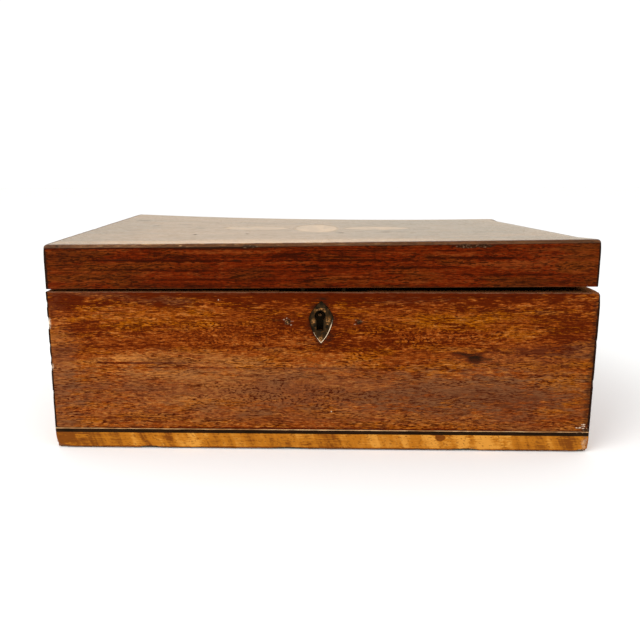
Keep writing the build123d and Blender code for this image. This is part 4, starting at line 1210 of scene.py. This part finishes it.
def as_radius(outline, middle, angles):
    """Radius of a closed outline over each angle about its middle."""
    away = outline - middle
    at = np.arctan2(away[:, 1], away[:, 0])
    order = np.argsort(at)
    return np.interp(angles, at[order], np.linalg.norm(away, axis=1)[order], period=2 * math.pi)


def round_grid(middle, inner, outer, rings, count):
    """A plate between two outlines, as radius over angle. A ring is a share of the way out and a depth.
    Without an inner outline the first and the last ring are closed by a face."""
    angles = np.linspace(-math.pi, math.pi, count, endpoint=False)
    start = 0.0 if inner is None else as_radius(inner, middle, angles)
    share, depth = np.array(rings).T[:, :, None]
    radius = start + share * (as_radius(outer, middle, angles) - start)
    numbers = np.arange(radius.size).reshape(radius.shape)
    looped = np.concatenate([numbers, numbers[:, :1]], 1)
    if inner is None:
        faces = quads_of(looped).tolist() + [numbers[0].tolist(), numbers[-1][::-1].tolist()]
    else:
        faces = quads_of(np.concatenate([looped, looped[:1]], 0)).tolist()
    across, up = middle[0] + radius * np.cos(angles), middle[1] + radius * np.sin(angles)
    return angles, share, depth, across, up, faces


# %% Escutcheon
plate_low, plate_high = corner("escutcheon", 0), corner("escutcheon", 1)
KEY = (corner("lock_drill_pin", 0) + corner("lock_drill_pin", 1)) / 2
PLATE_X = (plate_low[0] + plate_high[0]) / 2
HALF_WIDTH = (plate_high[0] - plate_low[0]) / 2
TIP_ABOVE, TIP_BELOW = plate_high[2] - KEY[2], KEY[2] - plate_low[2]
KEY_RADIUS, SLOT_HALF, SLOT_DROP = 3.4 * MM, 2.15 * MM, 9.3 * MM
HOLE_RINGS = [(0, 1.6), (0, 0.9), (0, 0.35), (0.01, 0.2), (0.03, 0.1), (0.06, 0.12)]
FACE_RINGS = [(share, 0.22) for share in np.linspace(0.12, 0.8, 12)]
RIM_RINGS = [
    (0.85, 0.18), (0.89, 0.07), (0.93, 0.03), (0.965, 0.07), (0.985, 0.16), (0.993, 0.38), (0.993, 1.6),
]


def shield_outline():
    """The plate's outline on the front view, going round from its top tip."""
    wide_z = KEY[2] - 1.0 * MM
    tip, widest, foot = (0, KEY[2] + TIP_ABOVE), (HALF_WIDTH, wide_z), (0, KEY[2] - TIP_BELOW)
    right_side = np.concatenate([
        arc(tip, (0.60 * HALF_WIDTH, KEY[2] + 0.50 * TIP_ABOVE), widest),
        arc(widest, (0.68 * HALF_WIDTH, KEY[2] - 0.56 * TIP_BELOW), foot),
    ])
    return np.concatenate([right_side, right_side[::-1] * (-1, 1)]) + (PLATE_X, 0)


def keyhole_outline():
    """Circle over a slot, on the front view."""
    spread = math.asin(SLOT_HALF / KEY_RADIUS)
    turn = np.linspace(spread - math.pi / 2, 1.5 * math.pi - spread, 120)
    circle = KEY_RADIUS * np.stack([np.cos(turn), np.sin(turn)], 1)
    down = np.linspace((-SLOT_HALF, circle[-1][1]), (-SLOT_HALF, -SLOT_DROP), 30)
    foot = np.linspace((-SLOT_HALF, -SLOT_DROP), (SLOT_HALF, -SLOT_DROP), 20)
    return KEY[::2] + np.concatenate([circle, down, foot, (down * (-1, 1))[::-1]])


def brass_plate(name):
    """The plate. Its lip is bright on the lower left, as rubbed brass and a painted highlight, and painted
    shade, near black, lies down the wall of the hole and round the outside.
    """
    middle = np.array([KEY[0], KEY[2] - 3.3 * MM])
    rings = HOLE_RINGS + FACE_RINGS + RIM_RINGS
    angles, share, depth, x, z, faces = round_grid(middle, keyhole_outline(), shield_outline(), rings, 320)
    points = np.stack([x, plate_low[1] + depth * MM + 0 * x, z], -1).reshape(-1, 3)
    face = (share > 0.02) & (share < 0.98) & (depth < 0.3) & (x > -1)
    points[:, 1] += (face.ravel() * 0.03 * MM) * ripple(points, 2.2 * MM, 4.0)
    lip = np.exp(-(((share - 0.95) / 0.07) ** 2))
    # Painted highlight: towards makes the rubbed lip bright on one side only, where the light falls on the
    # rim.
    towards = np.clip(0.28 + 0.95 * np.cos(angles + math.radians(60)), 0.0, 1.2)
    # Painted shade: grime here is shade, near black, down the wall of the hole, at the inner and outer edges
    # of the plate and in the gap round it.
    grime = np.clip((share - 0.972) / 0.012, 0, 1) + (depth > 0.3)
    grime = grime + 0.95 * np.clip((0.075 - share) / 0.03, 0, 1)
    masks = {"arris": (lip * towards).ravel(), "seam": np.clip(grime + 0 * x, 0, 1).ravel()}
    return make_piece(name, points, faces, shield_brass, "body", "old_brass", ["escutcheon"], **masks)


print("shield:", len(brass_plate("keyhole_shield").data.polygons), "faces")


# %% Bed for the escutcheon in the front veneer
def take_out(piece, outline, axis, ends):
    """Takes a straight-sided hole out of a piece: an outline, carried along an axis between two ends."""
    rings = np.concatenate([np.insert(outline, axis, end, axis=1) for end in ends])
    count = len(outline)
    walls = [(i, (i + 1) % count, count + (i + 1) % count, count + i) for i in range(count)]
    caps = [tuple(range(count - 1, -1, -1)), tuple(range(count, 2 * count))]
    mesh = bpy.data.meshes.new("tool")
    mesh.from_pydata(rings.tolist(), [], outward(rings, walls + caps))
    tool = bpy.data.objects.new("tool", mesh)
    bpy.context.scene.collection.objects.link(tool)
    cut = piece.modifiers.new("hole", "BOOLEAN")
    cut.operation, cut.object, cut.solver = "DIFFERENCE", tool, "EXACT"
    graph = bpy.context.evaluated_depsgraph_get()
    holed = bpy.data.meshes.new_from_object(piece.evaluated_get(graph))
    piece.modifiers.clear()
    piece.data = holed
    bpy.data.objects.remove(tool)
    bpy.data.meshes.remove(mesh)
    print(piece.name, "has", len(holed.polygons), "faces")


BED_ROOM = 0.035  # share by which the bed is larger than the shield
shield = shield_outline()
apart = np.append(np.linalg.norm(np.diff(shield, axis=0), axis=1) > 0.01 * MM, True)
shield = shield[apart]
bed = (shield + (shield - shield.mean(0)) * BED_ROOM)[:-1]
take_out(body_veneers["front"], bed, 1, (thin["front"][0] + 2 * MM, BODY_LOW[1] - MM))

# %% [markdown]
# ## Lid skin
#
# The lid's upright veneers stand between its warped under side and its warped top. Edging strips sit in
# a rebate along the top arrises. The top board is made again as well, because the real one has sunk with
# its veneer, and the frame's plain one would stand through it.

# %% Lid veneers, top board and edging
EDGING_SIZE = corner("lid_front_edging", 1)[1] - corner("lid_front_edging", 0)[1]
VENEER, GLUE = 1.05 * MM, 0.05 * MM
STRIP_STEP = 0.5 * MM


def below_lid_top(drop):
    """The warped top, lowered."""
    return lambda x, y: lid_top(x, y) - drop


upright_veneers(
    "lid_", MM, lambda notched: (lid_rim(notched), below_lid_top(EDGING_SIZE)),
    on_sides(lid_front_mahogany, lid_back_mahogany, lid_side_mahogany), "lid",
)
strip_x, strip_y = (
    (LID_LOW[i], LID_LOW[i] + EDGING_SIZE, LID_HIGH[i] - EDGING_SIZE, LID_HIGH[i]) for i in (0, 1)
)


def board_top(x, y):
    """Top of the board under the veneer, with a step down round its border for the edging strips."""
    within = (x > strip_x[1]) & (x < strip_x[2]) & (y > strip_y[1]) & (y < strip_y[2])
    return lid_top(x, y) - np.where(within, VENEER + GLUE, EDGING_SIZE + 0.04 * MM)


board_low, board_high = corner("lid_top_board", 0), corner("lid_top_board", 1)
board_x, board_y = (
    with_lines(lines(board_low[i], board_high[i], 5 * MM), np.add.outer(strip[1:3], NUDGE).ravel())
    for i, strip in enumerate((strip_x, strip_y))
)
board_ends = (saddle(corner_points("lid_top_board", min)), board_top)
skin_piece("lid_top_board", board_x, board_y, MM, board_ends, bare_mahogany, "lid", "carcass_mahogany")

strip_ends = (below_lid_top(EDGING_SIZE), below_lid_top(0))
strip_thin = {"front": strip_y[:2], "back": strip_y[2:], "left": strip_x[:2], "right": strip_x[2:]}
strip_thin = {side: lines(*pair, STRIP_STEP) for side, pair in strip_thin.items()}
lid_full, strip_inner = lines(LID_LOW[0], LID_HIGH[0], COURSE_STEP), lines(*strip_y[1:3], COURSE_STEP)
strip_woods = on_sides(edging_mahogany, edging_mahogany, side_edging_mahogany)
for side, (x_lines, y_lines) in four_sides(lid_full, strip_inner, strip_thin).items():
    node, material = f"lid_{side}_edging", strip_woods[side]
    skin_piece(node, x_lines, y_lines, STRIP_STEP, strip_ends, material, "lid", "mahogany_edging")
print("edging strips:", round(EDGING_SIZE * AT, 2), "mm")

# %% [markdown]
# ## Lid top and inlay
#
# The top veneer fills the space within the edging. An oval with a thin string round it and a leaf to
# either side are let into it. They could be drawn in the veneer's colour, but then grain and pores would
# run through from one wood into the next. Each is a plate carried round an angle, like the brass shield,
# and takes the same wear as the wood round it.

# %% Outlines of the inlay
ring_low, ring_high = corner("lid_medallion_string", 0), corner("lid_medallion_string", 1)
LID_MIDDLE, RING_HALF = (ring_low[:2] + ring_high[:2]) / 2, (ring_high - ring_low)[:2] / 2
OVAL_HALF = (corner("lid_medallion", 1) - corner("lid_medallion", 0))[:2] / 2
LEAF_TIP, LEAF_HALF = (corner("lid_leaf_inlays", 1) - corner("lid_leaf_inlays", 0))[:2] / 2
LEAF_ROOT = RING_HALF[0] + 3.0 * MM


def oval(half_x, half_y):
    """An oval about the lid's middle."""
    turn = np.linspace(0, 2 * math.pi, 240, endpoint=False)
    return LID_MIDDLE + np.stack([half_x * np.cos(turn), half_y * np.sin(turn)], 1)


def along_leaf(share):
    """Distance from the lid's middle to a share of a leaf's length."""
    return LEAF_ROOT + share * (LEAF_TIP - LEAF_ROOT)


def leaf(side):
    """Two arcs from root to tip of a leaf, with the belly nearer the root."""
    root, tip, waist = (side * LEAF_ROOT, 0.0), (side * LEAF_TIP, 0.0), side * along_leaf(0.42)
    near, far = arc(root, (waist, -side * LEAF_HALF), tip), arc(tip, (waist, side * LEAF_HALF), root)
    return LID_MIDDLE + np.concatenate([near[:-1], far[:-1]])


print("inlay:", [round(half * 2 * AT) for half in (*OVAL_HALF, LEAF_TIP, LEAF_HALF)], "mm")


# %% Inlay and top veneer
def inlay_plate(name, middle, inner, outer, material, slot, node):
    """A plate of veneer that follows the lid's warped top, with its upper arrises a little eased."""
    shares = [0.1, 0.3, 0.5, 0.65, 0.8, 0.9, 0.96] if inner is None else [0.3, 0.7]
    rings = [(share, 0.0) for share in shares] + [(0.99, 0.01), (1.0, 0.06), (1.0, 1.0)]
    rings = rings + [(shares[0], 1.0)] if inner is None else [(0.0, 1.0), (0.0, 0.06), (0.02, 0.01)] + rings
    _, share, drop, x, y, faces = round_grid(middle, inner, outer, rings, 240)
    points = np.stack([x, y, lid_top(x, y) - (drop * VENEER + 0 * x)], -1).reshape(-1, 3)
    points, chip, _ = lid_wear(points)
    seam = np.exp(-(1 - share) * 12) + (0 if inner is None else np.exp(-share * 3)) + 0 * x
    masks = {"seam": np.clip(seam, 0, 1).ravel(), "chip": chip}
    return make_piece(name, points, faces, material, "lid", slot, [node], **masks)


inlay_plate("oval_inlay", LID_MIDDLE, None, oval(*OVAL_HALF), top_satinwood, "satinwood", "lid_medallion")
string_inside, string_outside = oval(*(OVAL_HALF + 0.02 * MM)), oval(*RING_HALF)
inlay_plate(
    "oval_string", LID_MIDDLE, string_inside, string_outside, inlay_boxwood, "boxwood", "lid_medallion_string"
)
for side, label in ((-1, "left"), (1, "right")):
    belly = LID_MIDDLE + (side * along_leaf(0.45), 0)
    inlay_plate(f"{label}_leaf_inlay", belly, None, leaf(side), top_satinwood, "satinwood", "lid_leaf_inlays")

PIT_LINES = np.array([-2.4, -1.7, -1.2, -0.7, -0.25, 0.25, 0.7, 1.2, 1.7, 2.4])


def near_pits(axis):
    """Extra grid lines, so close together that each small pit in the lid's top gets its bowl."""
    return np.add.outer([pit[axis] for pit in PITS], PIT_LINES).ravel() * MM


top_x, top_y = (
    with_lines(lines(*strip[1:3], 2.0 * MM), near_pits(i)) for i, strip in enumerate((strip_x, strip_y))
)
top_ends = (below_lid_top(VENEER), below_lid_top(0))
top_veneer = skin_piece("lid_top_veneer", top_x, top_y, 0.6 * MM, top_ends, lid_top_mahogany, "lid")
BELOW_TOP, ABOVE_TOP, INLAY_ROOM = 0.11, 0.16, 0.04 * MM
for outline in (oval(*RING_HALF), leaf(-1), leaf(1)):
    away = outline - outline.mean(0)
    bed = outline + away / np.linalg.norm(away, axis=1, keepdims=True) * INLAY_ROOM
    take_out(top_veneer, bed, 2, (BELOW_TOP, ABOVE_TOP))

# %% [markdown]
# ## Baize
#
# Green baize lies on the floor inside and under the foot. Cloth that hangs is best left to a cloth
# simulation, but these are glued down. Each is a thin cut sheet, laid flat, with hardly a rise and fall,
# and the size that it was cut to is printed.


# %% Baize
def baize_sheet(name):
    """A laid sheet in place of the frame node of that name, whose top sinks a little by a soft ripple."""
    low, high = corner(name, 0), corner(name, 1)
    sheet_x, sheet_y = (lines(low[i], high[i], 3 * MM, chip_lines=[]) for i in (0, 1))

    def napped(points):
        """Lowers the upper face by the ripple. A sheet has no chips and no arrises."""
        lift = 0.06 * MM * ripple(points, 24 * MM, 3.0) * (points[:, 2] > (low[2] + high[2]) / 2)
        none = np.zeros(len(points))
        return points - np.outer(np.abs(lift), (0, 0, 1)), none, none

    ends = level(low[2]), level(high[2])
    points, quads, masks = skin_points(sheet_x, sheet_y, 0.5 * MM, *ends, napped, 0.2 * MM)
    chip = masks["chip"]
    piece = make_piece(name + "_cloth", points, quads, green_baize, "body", "green_baize", [name], chip=chip)
    print(name, "cut to", [round(side * AT, 1) for side in (high - low)[:2]], "mm")


baize_sheet("floor_lining")
baize_sheet("foot_baize")

# %% [markdown]
# ## Finishes on the frame's own pieces
#
# The carcass, the hinges and the lock keep the frame's shapes and only get a finish, since they are
# hidden or small and little worn. Boards that run front to back have their grain turned. The front
# board is darkened behind the keyhole, and the lock plate, lock cap, link plate and staples get brass
# darkened near black: both are painted shade, in the keyhole and in the gap under the lid.

# %% Finishes on the frame's own pieces
FINISHES = {"lock_drill_pin": pin_iron, "lock_face_pins": pin_iron, "front_board": keyhole_mahogany}
FINISHES |= dict.fromkeys(["lock_bolt", "lock_bolt_spring", "lock_ward", "lock_studs"], iron)
# Painted shade: the lock and link parts seen in the keyhole and in the gap under the lid take the darkened
# brass.
FINISHES |= dict.fromkeys(["lock_plate", "lock_cap", "link_plate", "link_staples"], gap_shade_brass)
for name, node in frame["nodes"].items():
    if name in FINISHES:
        finish = FINISHES[name]
    elif name.endswith("_board"):
        finish = bare_side_mahogany if "left" in name or "right" in name else bare_mahogany
    else:
        finish = iron if "screws" in name else hinge_brass
    node.data.materials.clear()
    node.data.materials.append(finish)
print("frame pieces finished:", len(frame["nodes"]))

# %% [markdown]
# ## Floor and light
#
# The floor is pale and plain. The light is soft: a white surround, which also gives the polished lid
# its pale sheen at a low angle, and one large lamp from the upper left that models the front. A small
# lamp would draw a hard shadow, which the photograph doesn't have. The Standard view transform keeps
# the whites white and the browns as they were measured.

# %% Floor and light
FLOOR_HALF = 6.0
floor_mesh = bpy.data.meshes.new("floor")
floor_corners = [(x * FLOOR_HALF, y * FLOOR_HALF, 0) for x, y in ((-1, -1), (1, -1), (1, 1), (-1, 1))]
floor_mesh.from_pydata(floor_corners, [], [(0, 1, 2, 3)])
floor = bpy.data.objects.new("floor", floor_mesh)
bpy.context.scene.collection.objects.link(floor)
MATT_WHITE = {"Base Color": (0.93, 0.93, 0.92, 1.0), "Roughness": 0.9, "Specular IOR Level": 0.1}
floor_mesh.materials.append(finish_material("pale floor", lambda w: dict(MATT_WHITE)))

world = bpy.data.worlds.new("studio")
bpy.context.scene.world = world
world.use_nodes = True
surround = world.node_tree.nodes["Background"].inputs
surround["Color"].default_value, surround["Strength"].default_value = (1.0, 1.0, 1.0, 1.0), 1.08

LAMP_PLACE, LAMP_AIM = np.array([-1.0, -1.1, 1.2]), np.array([0, 0, 0.08])
lamp_data = bpy.data.lights.new("key", "AREA")
lamp_data.size, lamp_data.energy = 1.0, 16.0
lamp = bpy.data.objects.new("key", lamp_data)
bpy.context.scene.collection.objects.link(lamp)
away = LAMP_PLACE - LAMP_AIM
lamp.location = LAMP_PLACE
lamp.rotation_euler = (math.atan2(math.hypot(away[0], away[1]), away[2]), 0.0, math.atan2(away[0], -away[1]))
bpy.context.scene.view_settings.view_transform = "Standard"
print("lamp stands", round(float(np.linalg.norm(away)), 2), "m away")
